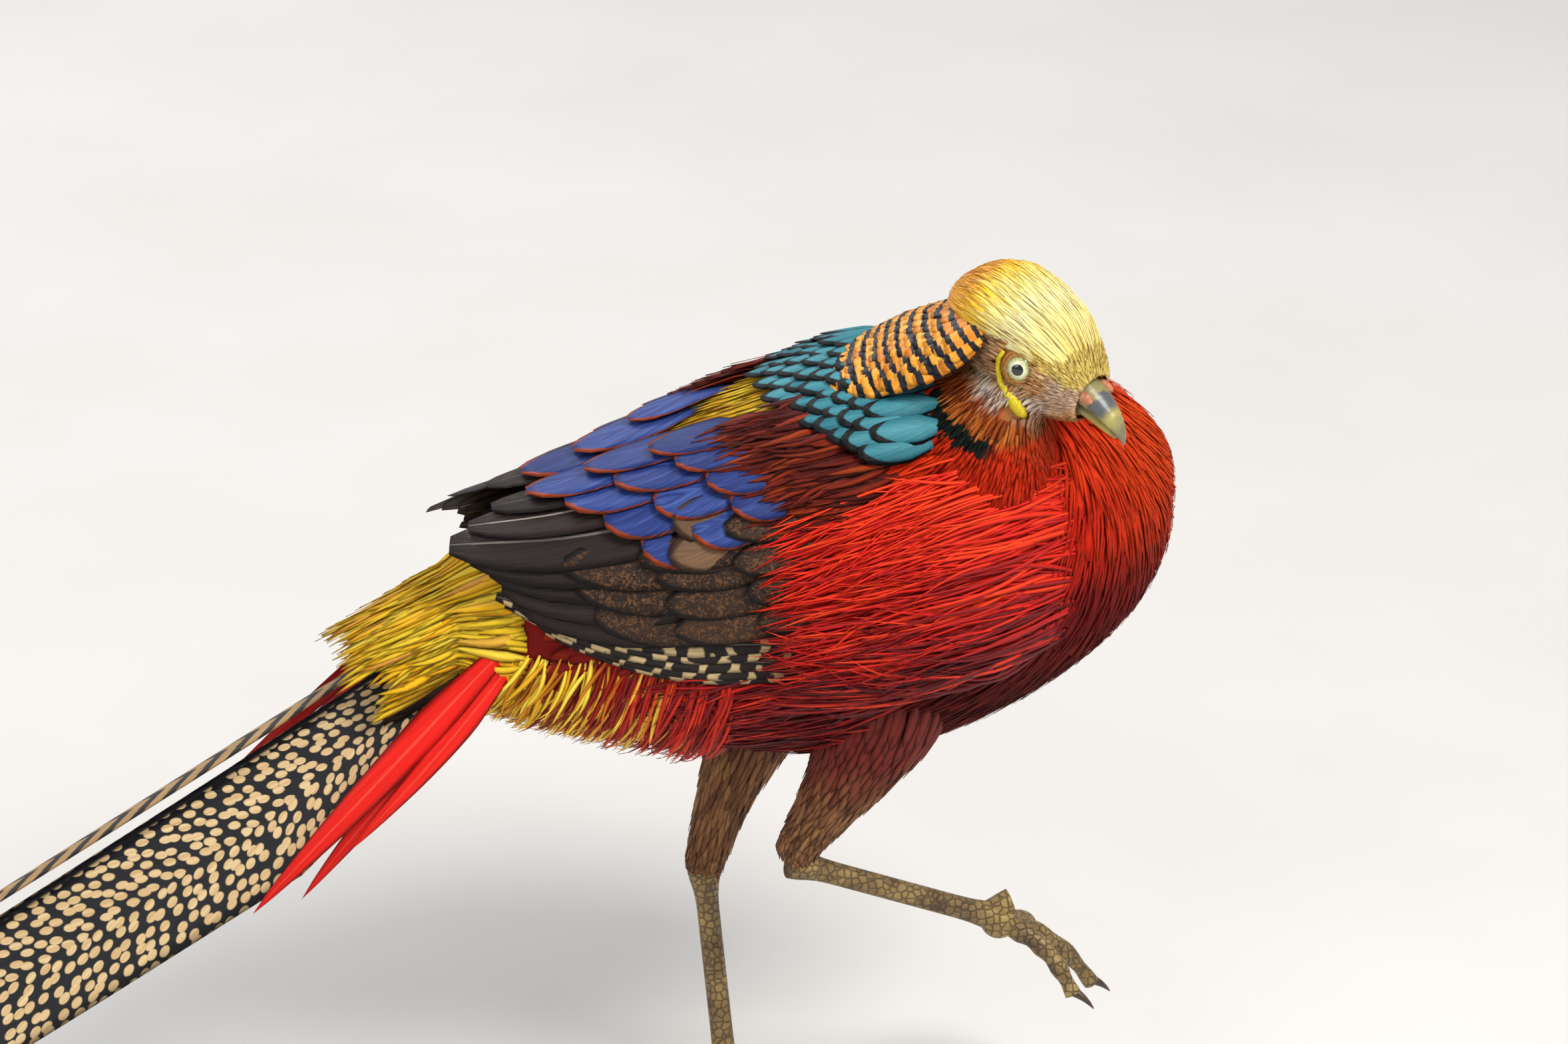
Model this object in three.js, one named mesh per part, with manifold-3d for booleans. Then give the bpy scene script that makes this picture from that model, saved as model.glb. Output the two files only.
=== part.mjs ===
// Golden pheasant cock, life size, walking on its left foot with the right foot lifted and
// the head turned to its right. Millimetres, +Z up, the body heads along +X, and the origin
// is on the floor under the pad of the standing left foot. Right is -Y.
import * as THREE from "three";
import { mergeVertices } from "three/addons/utils/BufferGeometryUtils.js";
import Module from "manifold-3d";

const wasm = await Module();
wasm.setup();

// Driving dimensions
const GAP = 0.35; // clearance between neighbouring pieces
const MID_Y = -6; // the body's middle plane
const TAIL_LENGTH = 660; // longest tail feather, along its curve
const HEAD_CENTRE = [116.4, -44.6, 300.6]; // between the eyes
const HEAD_YAW = 55; // degrees to the right of the body
const HEAD_PITCH = 18; // degrees below level
const HEAD_ROLL = -6; // degrees, positive lifts the right side
const HEAD_SIZE = 1.18; // every size on the head, bill and crest is given before this factor
const EYE_RADIUS = 5.3;
const EYE_ASIDE = 11.9; // eye centre from the head's middle plane
const EYE_HIGH = 1.5;
const TARSUS = 88;
const RAD = Math.PI / 180;

const vec = (a) => new THREE.Vector3(...a);
const clamp = THREE.MathUtils.clamp;
const mix = THREE.MathUtils.lerp;

// A smooth curve through rows of numbers, t from 0 to rows.length - 1.
function along(rows, t) {
  const last = rows.length - 1;
  const i = clamp(Math.floor(t), 0, last - 1);
  const f = t - i;
  const row = (k) => rows[clamp(k, 0, last)];
  return row(i).map((_, c) => {
    const [p0, p1, p2, p3] = [row(i - 1)[c], row(i)[c], row(i + 1)[c], row(i + 2)[c]];
    const slope1 = (p2 - p0) / 2;
    const slope2 = (p3 - p1) / 2;
    const f2 = f * f;
    const f3 = f2 * f;
    return (2 * f3 - 3 * f2 + 1) * p1 + (f3 - 2 * f2 + f) * slope1
      + (3 * f2 - 2 * f3) * p2 + (f3 - f2) * slope2;
  });
}

// A geometry whose vertices a three.js geometry gives, as a manifold solid.
function solid(geometry) {
  const bare = geometry.clone();
  bare.deleteAttribute("normal");
  bare.deleteAttribute("uv");
  const merged = mergeVertices(bare, 1e-3);
  const mesh = new wasm.Mesh({
    numProp: 3,
    vertProperties: new Float32Array(merged.attributes.position.array),
    triVerts: new Uint32Array(merged.index.array),
  });
  mesh.merge();
  const made = new wasm.Manifold(mesh);
  if (made.volume() >= 0) return made;
  const turned = merged.index.array.slice();
  for (let i = 0; i < turned.length; i += 3) {
    [turned[i + 1], turned[i + 2]] = [turned[i + 2], turned[i + 1]];
  }
  return new wasm.Manifold(new wasm.Mesh({
    numProp: 3,
    vertProperties: new Float32Array(merged.attributes.position.array),
    triVerts: new Uint32Array(turned),
  }));
}

function indexed(position, index) {
  const geometry = new THREE.BufferGeometry();
  geometry.setAttribute("position", new THREE.Float32BufferAttribute(position, 3));
  geometry.setIndex(index);
  return solid(geometry);
}

// A closed tube of rings of points. Each end is closed by a zigzag between its two halves.
function ringsSolid(rings) {
  const n = rings[0].length;
  const position = rings.flat().flatMap((p) => p.toArray());
  const index = [];
  for (let i = 0; i < rings.length - 1; i++) {
    for (let j = 0; j < n; j++) {
      const a = i * n + j;
      const b = i * n + ((j + 1) % n);
      index.push(a, b, b + n, a, b + n, a + n);
    }
  }
  const last = (rings.length - 1) * n;
  for (let a = 0, b = n - 1; a + 1 < b; a++, b--) {
    index.push(a, b, a + 1, last + a, last + a + 1, last + b);
    if (a + 2 < b) index.push(a + 1, b, b - 1, last + a + 1, last + b - 1, last + b);
  }
  return indexed(position, index);
}

// A body made of oval sections. Each row holds the section's centre, its dorsal and right
// directions, and how far it reaches up, down and aside.
class Loft {
  constructor(rows, squareness = 2.25) {
    this.rows = rows.map((r) => [...r.at, ...r.up, ...r.right, r.top, r.bottom, r.side]);
    this.end = rows.length - 1;
    this.power = 2 / squareness;
    this.turn = 1;
    const middle = this.end / 2;
    const out = this.on(middle, 0).sub(this.on(middle, Math.PI));
    this.turn = Math.sign(this.normal(middle, 0).dot(out));
  }

  // t runs along the rows, angle from the top (0) to the right side (90 degrees).
  on(t, angle) {
    const v = along(this.rows, clamp(t, 0, this.end));
    const up = new THREE.Vector3(v[3], v[4], v[5]).normalize();
    const right = new THREE.Vector3(v[6], v[7], v[8]).normalize();
    const c = Math.cos(angle);
    const s = Math.sin(angle);
    const reach = Math.max(c > 0 ? v[9] : v[10], 0.05);
    return new THREE.Vector3(v[0], v[1], v[2])
      .addScaledVector(up, reach * Math.sign(c) * Math.abs(c) ** this.power)
      .addScaledVector(right, Math.max(v[11], 0.05) * Math.sign(s) * Math.abs(s) ** this.power);
  }

  normal(t, angle) {
    const step = 0.02;
    const alongIt = this.on(Math.min(t + step, this.end), angle)
      .sub(this.on(Math.max(t - step, 0), angle));
    const round = this.on(t, angle + step).sub(this.on(t, angle - step));
    return round.cross(alongIt).normalize().multiplyScalar(this.turn);
  }

  // A point at height h over the surface.
  point(t, angle, h = 0) {
    return this.on(t, angle).addScaledVector(this.normal(t, angle), h);
  }

  solid(steps, sides, grow = 0, from = 0, to = this.end) {
    const rings = [];
    for (let i = 0; i <= steps; i++) {
      const t = mix(from, to, i / steps);
      const end = (i === steps) - (i === 0);
      const ring = [];
      for (let j = 0; j < sides; j++) {
        const edge = this.point(t, (j / sides) * 2 * Math.PI, grow);
        ring.push(edge.addScaledVector(this.ahead(t), end * grow));
      }
      rings.push(ring);
    }
    return ringsSolid(rings);
  }

  ahead(t) {
    const [a, b] = [along(this.rows, Math.max(t - 0.05, 0)), along(this.rows, Math.min(t + 0.05, this.end))];
    return new THREE.Vector3(b[0] - a[0], b[1] - a[1], b[2] - a[2]).normalize();
  }
}

// A curved plate over a loft. place(u, v, h) gives a point at u along, v across and h high.
function plate(place, height, across, down, low = GAP) {
  const rings = [];
  for (let i = 0; i <= down; i++) {
    const u = i / down;
    const ring = [];
    for (let j = 0; j <= across; j++) ring.push(place(u, j / across, height(u, j / across)));
    for (let j = across; j >= 0; j--) ring.push(place(u, j / across, low));
    rings.push(ring);
  }
  return ringsSolid(rings);
}

// A feather or lock: a thin strip along points, with a normal at each, as wide as width says.
function vane({ points, normals, width, thick = 0.7, grow = 0 }) {
  const last = points.length - 1;
  const rings = points.map((p, i) => {
    const ahead = points[Math.min(i + 1, last)].clone()
      .sub(points[Math.max(i - 1, 0)]).normalize();
    const aside = ahead.clone().cross(normals[i]).normalize();
    const up = aside.clone().cross(ahead).normalize();
    const half = Math.max(width(i / last), 0.5) / 2 + grow;
    const rise = thick / 2 + grow;
    const end = ((i === last) - (i === 0)) * grow;
    return [[-1, -1], [1, -1], [1, 1], [-1, 1]].map(([x, y]) => p.clone()
      .addScaledVector(aside, x * half).addScaledVector(up, y * rise).addScaledVector(ahead, end));
  });
  const position = rings.flat().flatMap((p) => p.toArray());
  const index = [];
  for (let i = 0; i < last; i++) {
    const [a, b] = [4 * i, 4 * i + 4];
    index.push(a, a + 1, b + 1, a, b + 1, b); // underside
    index.push(a + 3, b + 2, a + 2, a + 3, b + 3, b + 2); // upper side, split alike
    index.push(a + 1, a + 2, b + 2, a + 1, b + 2, b + 1);
    index.push(a, b, b + 3, a, b + 3, a + 3);
  }
  const e = last * 4;
  index.push(0, 2, 1, 0, 3, 2, e, e + 1, e + 2, e, e + 2, e + 3);
  return indexed(position, index);
}

// Outlines of a feather, as a share of its width: a round end, and a drawn-out one
const ROUND = (u) => Math.min(0.4 + 1.6 * u, 1)
  * Math.sqrt(Math.max(1 - Math.max((u - 0.5) / 0.52, 0) ** 2, 0.02));
const POINTED = (u) => Math.min(0.5 + 1.5 * u, 1) * (1 - u ** 2.2) ** 0.8;

// A feather laid over a surface. place(a, b, h) gives the surface's points; the feather runs from
// one pair [a, b] to another, sunk at its root and as high as rise says at its tip.
// lean tips it sideways, in degrees, so that neighbours in a row overlap like tiles.
function laid(place, feather) {
  const { from, to, wide, shape = ROUND, steps = 3, sunk = -0.8, rise, thick, lean = 0, grow = 0 } = feather;
  const points = [];
  const normals = [];
  const way = place(...to, rise).sub(place(...from, sunk)).normalize();
  for (let i = 0; i <= steps; i++) {
    const u = i / steps;
    const [a, b] = [mix(from[0], to[0], u), mix(from[1], to[1], u)];
    const h = mix(sunk, rise, Math.min(1.35 * u, 0.3 + 0.7 * u));
    points.push(place(a, b, h));
    normals.push(place(a, b, h + 1).sub(place(a, b, h - 1)).applyAxisAngle(way, lean * RAD));
  }
  return vane({ points, normals, width: (u) => wide * shape(u), thick, grow });
}

const union = (list) => wasm.Manifold.union(list);

function largest(made) {
  return made.decompose().sort((a, b) => b.volume() - a.volume())[0];
}

// Torso: sections across X. Each row is x, lowest z, highest z, half width.
const TORSO = [
  [-96, 203, 207, 3], [-90, 192, 217, 15], [-76, 180, 229, 28], [-52, 170, 243, 38],
  [-20, 160, 258, 47], [15, 151, 273, 53], [50, 146, 286, 55], [82, 148, 293, 54],
  [110, 157, 291, 50], [135, 170, 281, 43], [155, 186, 267, 33], [168, 206, 253, 20],
  [173, 226, 240, 6],
];
const torsoLoft = new Loft(TORSO.map(([x, low, high, side]) => ({
  at: [x, MID_Y, (low + high) / 2],
  up: [0, 0, 1],
  right: [0, -1, 0],
  top: (high - low) / 2,
  bottom: (high - low) / 2,
  side,
})));

// The torso's t for a place x along the body.
function bodyT(x) {
  let i = 0;
  while (i < TORSO.length - 2 && TORSO[i + 1][0] < x) i++;
  return i + (x - TORSO[i][0]) / (TORSO[i + 1][0] - TORSO[i][0]);
}
const onBody = (x, degrees, h = 0) => torsoLoft.point(bodyT(x), degrees * RAD, h);

// As onBody, and on past the torso's end along the tail
function onRump(x, degrees, h = 0) {
  const past = Math.max(-84 - x, 0);
  const fall = Math.tan(TAIL_FALL * RAD);
  return onBody(Math.max(x, -84), degrees, h).add(new THREE.Vector3(-past, -past * 0.1, -past * fall));
}

// Head frame
const headAhead = new THREE.Vector3(
  Math.cos(HEAD_PITCH * RAD) * Math.cos(HEAD_YAW * RAD),
  -Math.cos(HEAD_PITCH * RAD) * Math.sin(HEAD_YAW * RAD),
  -Math.sin(HEAD_PITCH * RAD),
);
const levelRight = headAhead.clone().cross(new THREE.Vector3(0, 0, 1)).normalize();
const headRight = levelRight.clone().applyAxisAngle(headAhead, -HEAD_ROLL * RAD);
const headUp = headRight.clone().cross(headAhead).normalize();
const inHead = (ahead, right, up) => vec(HEAD_CENTRE)
  .addScaledVector(headAhead, ahead * HEAD_SIZE)
  .addScaledVector(headRight, right * HEAD_SIZE)
  .addScaledVector(headUp, up * HEAD_SIZE);

// A loft along the head's own direction. Each row is a distance ahead of the eyes, the section's
// height, and its reach up, down and aside.
const headwise = (rows, squareness) => new Loft(rows.map(([ahead, high, top, bottom, side]) => ({
  at: inHead(ahead, 0, high).toArray(),
  up: headUp.toArray(),
  right: headRight.toArray(),
  top: top * HEAD_SIZE,
  bottom: bottom * HEAD_SIZE,
  side: side * HEAD_SIZE,
})), squareness);

const HEAD = [
  [-25, 2, 2, 2, 2], [-22.5, 1, 11, 11, 11], [-15, 0, 16, 15.5, 15.5], [-5, 0, 17.5, 17, 16.5],
  [5, -0.8, 15.5, 15.5, 14.6], [13, -2.2, 11.5, 12, 11.2], [18.5, -3.6, 7.4, 8.2, 7],
];
const headLoft = headwise(HEAD, 2.1);

// Neck: from inside the breast to the back of the head.
const NECK = [
  { at: [80, -14, 234], up: [-0.7, 0, 0.7], top: 38, bottom: 44, side: 42 },
  { at: [94, -20, 252], up: [-0.65, 0, 0.76], top: 36, bottom: 42, side: 41 },
  { at: [104, -27, 268], up: [-0.6, 0.05, 0.8], top: 28, bottom: 37, side: 36 },
  { at: [111, -34, 281], up: [-0.45, 0.1, 0.88], top: 22, bottom: 31, side: 28 },
  { at: [116, -40, 290], up: [-0.2, 0.1, 0.97], top: 17, bottom: 22, side: 21 },
  { at: [118, -43, 298], up: headUp.toArray(), top: 13, bottom: 16, side: 17 },
];
const neckAxis = vec(NECK[NECK.length - 1].at).sub(vec(NECK[0].at)).normalize();
const neckLoft = new Loft(NECK.map((row) => ({
  ...row,
  right: neckAxis.clone().cross(vec(row.up)).normalize().toArray(),
})), 2.05);

// Tail curve: s along it from the root. Straight and falling first, then levelling on the floor.
const TAIL_ROOT = [-82, MID_Y, 208];
const TAIL_SWING = 8; // degrees towards the right
const TAIL_FALL = 26; // degrees below level at the root
const TAIL_STRAIGHT = 150;
const TAIL_LAND = 560; // where it reaches the floor
const TAIL_REST = 0.2; // height of its middle on the floor
function tailLine(s) {
  const fall = Math.tan(TAIL_FALL * RAD);
  const level = s * Math.cos(TAIL_FALL * RAD * 0.7);
  const straight = TAIL_ROOT[2] - fall * Math.min(level, TAIL_STRAIGHT);
  const rest = clamp((level - TAIL_STRAIGHT) / (TAIL_LAND * 0.93 - TAIL_STRAIGHT), 0, 1);
  const drop = straight - TAIL_REST;
  const power = (fall * (TAIL_LAND * 0.93 - TAIL_STRAIGHT)) / drop;
  const z = level <= TAIL_STRAIGHT ? straight : TAIL_REST + drop * (1 - rest) ** power;
  return new THREE.Vector3(
    TAIL_ROOT[0] - level * Math.cos(TAIL_SWING * RAD),
    TAIL_ROOT[1] - level * Math.sin(TAIL_SWING * RAD),
    z,
  );
}
const tailAside = new THREE.Vector3(Math.sin(TAIL_SWING * RAD), -Math.cos(TAIL_SWING * RAD), 0);
function tailUp(s) {
  const ahead = tailLine(s + 2).sub(tailLine(Math.max(s - 2, 0))).normalize();
  const up = ahead.clone().cross(tailAside).normalize();
  return up.z < 0 ? up.negate() : up;
}

// A place beside the tail curve: s along, aside to the right, h above.
const byTail = (s, aside, h) => tailLine(s)
  .addScaledVector(tailAside, aside)
  .addScaledVector(tailUp(s), h);

// A limb of round or oval sections along points: radius is a number or [aside, fore].
function limb(points, radii, sides, grow = 0, foreHint = [1, 0, 0]) {
  const hint = vec(foreHint);
  const rings = points.map((p, i) => {
    const ahead = vec(points[Math.min(i + 1, points.length - 1)])
      .sub(vec(points[Math.max(i - 1, 0)])).normalize();
    const aside = ahead.clone().cross(hint).normalize();
    const fore = aside.clone().cross(ahead).normalize();
    const [a, b] = [radii[i]].flat().length === 2 ? radii[i] : [radii[i], radii[i]];
    const ring = [];
    for (let j = 0; j < sides; j++) {
      const q = (j / sides) * 2 * Math.PI;
      ring.push(vec(p).addScaledVector(aside, (a + grow) * Math.cos(q))
        .addScaledVector(fore, (b + grow) * Math.sin(q)));
    }
    return ring;
  });
  return ringsSolid(rings);
}

function smooth(points, count) {
  const out = [];
  for (let i = 0; i <= count; i++) out.push(along(points, (i / count) * (points.length - 1)));
  return out;
}

// Torso and rump core, one loft parted across the back
const RUMP_X = -50;
const torsoSolid = (grow = 0) => torsoLoft.solid(16, 22, grow, bodyT(RUMP_X), torsoLoft.end);
const rumpCore = (grow = 0) => torsoLoft.solid(5, 18, grow, 0, bodyT(RUMP_X - GAP));

const neckSolid = (grow = 0) => neckLoft.solid(8, 18, grow);
const headSolid = (grow = 0) => headLoft.solid(8, 14, grow);

// Eyes: one ball each side, set in the head and looking a little ahead and up
const eyeCentre = (sign) => inHead(0, sign * EYE_ASIDE, EYE_HIGH);
const gaze = (sign) => headRight.clone().multiplyScalar(0.86 * sign)
  .addScaledVector(headAhead, 0.36).addScaledVector(headUp, 0.3).normalize();
function eyeSolid(sign, grow = 0) {
  const ball = new THREE.SphereGeometry(EYE_RADIUS * HEAD_SIZE + grow, 12, 8);
  ball.translate(...eyeCentre(sign).toArray());
  return solid(ball);
}

// A rim of skin round each eye, and a yellow wattle under it
const LID_OPENING = 4.3; // radius of the rim's middle line
const LID_THICK = 1;
function lidSolid(sign, grow = 0) {
  const ring = new THREE.TorusGeometry(LID_OPENING * HEAD_SIZE, LID_THICK * HEAD_SIZE + grow, 4, 12);
  const out = gaze(sign);
  const across = headUp.clone().cross(out).normalize();
  ring.applyMatrix4(new THREE.Matrix4().makeBasis(across, out.clone().cross(across), out));
  const depth = Math.sqrt(EYE_RADIUS ** 2 - LID_OPENING ** 2) * HEAD_SIZE;
  ring.translate(...eyeCentre(sign).addScaledVector(out, depth).toArray());
  return solid(ring);
}
const headBasis = () => new THREE.Matrix4().makeBasis(headAhead, headUp, headRight);
function wattleSolid(sign, grow = 0) {
  const lobe = new THREE.SphereGeometry(1, 8, 5);
  lobe.scale(...[3.2, 4.6, 1.8].map((reach) => reach * HEAD_SIZE + grow));
  lobe.rotateZ(0.5);
  lobe.applyMatrix4(headBasis());
  lobe.translate(...inHead(1.5, sign * 14.4, -7.5).toArray());
  return solid(lobe);
}

// Bill: rows of distance ahead, centre height, half height up, half height down, half width
const BILL_UPPER = [
  [14, -2.5, 4.8, 2.5, 5.7], [17, -3.2, 4.7, 1.8, 5.6], [20.5, -3.8, 4.1, 1.5, 5.1],
  [24.5, -5, 3.5, 1.4, 4.2], [28.6, -6.8, 2.7, 1.4, 3], [31.7, -9, 1.7, 1.5, 1.6], [33, -11.4, 0.6, 0.6, 0.6],
];
const BILL_LOWER = [
  [12.3, -6.6, 1.6, 2.5, 5], [17, -7.1, 1.8, 2.2, 4.6], [21.8, -7.8, 1.6, 2, 3.8],
  [26.6, -9, 1.1, 1.6, 2.7], [30, -10.3, 0.7, 0.9, 1.3],
];
const billSolid = (rows, grow = 0) => headwise(rows, 2).solid(7, 10, grow);
function nostrilSolid(sign) {
  const slit = new THREE.SphereGeometry(HEAD_SIZE, 6, 4);
  slit.scale(2.2, 0.8, 1);
  slit.applyMatrix4(headBasis());
  slit.translate(...inHead(20.5, sign * 4.9, -2.2).toArray());
  return solid(slit);
}

// Crest: silky feathers from the forehead over the crown and past the nape
const CREST = [
  [17, 0.5, 2, 1, 3.5], [13, 3.5, 6.2, 2, 8.4], [5, 6, 10.2, 3, 12.4], [-5, 7, 12, 4, 14.4],
  [-14, 7.4, 12.2, 5, 15], [-21, 6.5, 12, 6, 14], [-28, 4, 10, 6, 11], [-33.5, 1.5, 5.5, 3, 6],
];
const crestLoft = headwise(CREST, 2.1);
const onCrest = (t, degrees, h) => crestLoft.point(t, degrees * RAD, h);
function crestSolid(grow = 0) {
  const locks = [];
  for (const [row, count] of [[0.8, 4], [2.6, 5], [4.3, 5]].entries()) {
    const [from, places] = count;
    for (let i = 0; i < places; i++) {
      const degrees = mix(-78, 78, places > 1 ? i / (places - 1) : 0.5) * (row % 2 ? 1 : 0.86);
      locks.push(laid(onCrest, {
        from: [from, degrees], to: [Math.min(from + 2.7, 7), degrees * (row > 1 ? 0.7 : 0.94)],
        wide: 8, shape: POINTED, steps: 2, rise: 3.2, thick: 0.8, grow,
      }));
    }
  }
  return union([crestLoft.solid(7, 10, grow, 0, 6.2), ...locks]);
}

// Cape: barred feathers from the nape over the hind neck, fanning down to the shoulders
const CAPE = [
  { at: [101, -31, 303], up: [-0.3, 0.15, 0.95], top: 16, bottom: 8, side: 23 },
  { at: [94, -25, 296], up: [-0.45, 0.1, 0.88], top: 18, bottom: 10, side: 27 },
  { at: [83, -19, 288], up: [-0.5, 0.05, 0.86], top: 20, bottom: 12, side: 30 },
  { at: [70, -13, 280], up: [-0.3, 0, 0.95], top: 20, bottom: 14, side: 31 },
  { at: [56, -10, 273], up: [-0.15, 0, 0.99], top: 21, bottom: 10, side: 30 },
  { at: [43, -10, 270], up: [-0.1, 0, 1], top: 18, bottom: 6, side: 24 },
];
const capeAxis = vec(CAPE[0].at).sub(vec(CAPE[CAPE.length - 1].at)).normalize();
const capeLoft = new Loft(CAPE.map((row) => ({
  ...row,
  right: capeAxis.clone().cross(vec(row.up)).normalize().toArray(),
  top: row.top - 3.5,
  side: row.side - 3,
})), 2.1);
const onCape = (t, degrees, h) => capeLoft.point(t, degrees * RAD, h);
const CAPE_RISE = 4.8; // height of the feathers' tips over the core
const CAPE_SPREAD = 66; // degrees round the neck that the feathers reach to each side
const CAPE_TIERS = [[0.5, 4], [1.6, 5], [2.8, 5]]; // t of the roots, feathers
function capeSolid(grow = 0) {
  const feathers = [];
  for (const [tier, [from, places]] of CAPE_TIERS.entries()) {
    for (let i = 0; i < places; i++) {
      const spread = CAPE_SPREAD - 10 * tier;
      const degrees = mix(-spread, spread, i / (places - 1));
      feathers.push(laid(onCape, {
        from: [from, degrees], to: [Math.min(from + 1.8, 5), degrees * 0.96],
        wide: 13 + tier, rise: CAPE_RISE, steps: 2, thick: 0.6, grow,
      }));
    }
  }
  return union([capeLoft.solid(7, 12, grow, 0, 4.7), ...feathers]);
}

// Where the folded wings lie: as the torso, but straight out over the rump
const FOLD = [
  [-104, 214, 238, 8], [-92, 206, 243, 17], [-76, 196, 247, 27], [-50, 178, 253, 38],
  [-20, 161, 263, 48], [15, 152, 277, 54], [50, 147, 288, 56.5], [82, 149, 294, 55.5],
  [104, 157, 292, 52],
];
const foldLoft = new Loft(FOLD.map(([x, low, high, side]) => ({
  at: [x, MID_Y, (low + high) / 2],
  up: [0, 0, 1],
  right: [0, -1, 0],
  top: (high - low) / 2,
  bottom: (high - low) / 2,
  side,
})));
function foldT(x) {
  let i = 0;
  while (i < FOLD.length - 2 && FOLD[i + 1][0] < x) i++;
  return i + (x - FOLD[i][0]) / (FOLD[i + 1][0] - FOLD[i][0]);
}
const onFold = (x, degrees, h = 0) => foldLoft.point(foldT(x), degrees * RAD, h);

// Upper and lower edge of the folded wing, in degrees round the fold, from tip to shoulder
const WING_EDGES = [[30, 58], [15, 74], [8, 84], [7, 90], [10, 94], [24, 93], [38, 86]];
const WING_PLATE_REAR = -66; // where the plate under the feathers ends; their tips go on
const WING_SHOULDER_X = 88;
function wingPlate(sign, grow = 0) {
  const place = (u, v, h) => {
    const [top, low] = along(WING_EDGES, u * (WING_EDGES.length - 1));
    const wider = grow / 0.5; // degrees
    const x = mix(WING_PLATE_REAR - grow, WING_SHOULDER_X + grow, u);
    return onFold(x, sign * mix(top - wider, low + wider, v), h);
  };
  const height = (u, v) => grow + 0.8 + 1.6 * Math.sin(Math.PI * u) * (0.5 + 0.5 * Math.sin(Math.PI * v));
  return plate(place, height, 3, 8, -1.2 - grow);
}

// Wing feathers by group: where the first and last feather's root and tip are (x, degrees),
// how many there are, how wide, how high the tips lie.
const WING_GROUPS = {
  primaries: {
    count: 4, wide: 11, rise: 2, lean: 14, from: [[30, 98], [20, 86]], to: [[-62, 90], [-76, 72]],
  },
  secondaries: {
    count: 5, wide: 15, rise: 3.4, lean: 9, from: [[16, 80], [6, 46]], to: [[-64, 77], [-85, 44]],
  },
  coverts: {
    count: 3, wide: 12, rise: 4.6, steps: 2, from: [[30, 84], [26, 62]], to: [[-18, 82], [-28, 60]],
  },
  tertials: {
    count: 4, wide: 16, rise: 4.8, lean: 10, from: [[18, 52], [6, 15]], to: [[-22, 52], [-52, 14]],
  },
  scapulars: {
    count: 4, wide: 10, rise: 5.6, steps: 2, from: [[50, 62], [34, 34]], to: [[12, 60], [2, 32]],
  },
};
function wingSolid(sign, grow = 0) {
  const onSide = (x, degrees, h) => onFold(x, sign * degrees, h);
  const feathers = [];
  for (const { from, to, count, wide, rise, lean = 0, steps = 3 } of Object.values(WING_GROUPS)) {
    for (let i = 0; i < count; i++) {
      const v = i / (count - 1);
      const between = ([p, q]) => [mix(p[0], q[0], v), mix(p[1], q[1], v)];
      feathers.push(laid(onSide, {
        from: between(from), to: between(to), wide, rise, steps, thick: 0.5, lean: lean * sign, grow,
      }));
    }
  }
  return union([wingPlate(sign, grow), ...feathers]);
}

// Mantle: scale-like feathers of the upper back, behind the cape
const MANTLE_ROWS = [[76, 5], [64, 5], [52, 4]]; // x of the roots, feathers
const mantleHalf = (x) => Math.min(20 + 0.95 * (x - 26), 68); // degrees that it reaches to each side
function mantlePlate(height, front = 88, rear = 26, wider = 0) {
  const place = (u, v, h) => {
    const x = mix(front, rear, u);
    const half = mantleHalf(x) + wider;
    return onBody(x, mix(-half, half, v), h);
  };
  return plate(place, height, 8, 5, -1.5);
}
function mantleSolid() {
  const feathers = [];
  for (const [from, places] of MANTLE_ROWS) {
    for (let i = 0; i < places; i++) {
      const v = i / (places - 1);
      const half = mantleHalf(from) * 0.86;
      feathers.push(laid(onBody, {
        from: [from, mix(-half, half, v)], to: [from - 24, mix(-half, half, v) * 0.9],
        wide: 16, rise: 6.4, sunk: 1, steps: 2, thick: 0.6,
      }));
    }
  }
  return union([mantlePlate((u) => 1.6 + 1.6 * u), ...feathers]);
}

// Scarlet plumes of the breast's side, swept back over the wing's front, and the fringe of
// the flank below the wing
const PLUMES = [
  { from: [[112, 70], [98, 112]], to: [[60, 76], [44, 106]], count: 5, wide: 9, rise: 7 },
  { from: [[88, 76], [74, 112]], to: [[28, 84], [12, 104]], count: 5, wide: 9, rise: 9 },
  { from: [[52, 102], [-40, 102]], to: [[18, 114], [-76, 118]], count: 6, wide: 10, rise: 4 },
];
function plumesSolid(sign, grow = 0) {
  const onSide = (x, degrees, h) => onBody(x, sign * degrees, h);
  const locks = PLUMES.flatMap(({ from, to, count, wide, rise }) => Array.from({ length: count }, (_, i) => {
    const v = i / (count - 1);
    const between = ([p, q]) => [mix(p[0], q[0], v), mix(p[1], q[1], v)];
    return laid(onSide, {
      from: between(from), to: between(to), wide, shape: POINTED, rise, steps: 2, thick: 0.7, grow,
    });
  }));
  const place = (u, v, h) => {
    const x = mix(-46 - grow, 112 + grow, u);
    const [top, low] = [mix(98, 64, clamp((x - 40) / 50, 0, 1)), mix(122, 114, clamp((x - 40) / 50, 0, 1))];
    return onSide(x, mix(top - 2 * grow, low + 2 * grow, v), h);
  };
  return union([plate(place, () => grow + 1.6, 3, 9, -1 - grow), ...locks]);
}

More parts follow.
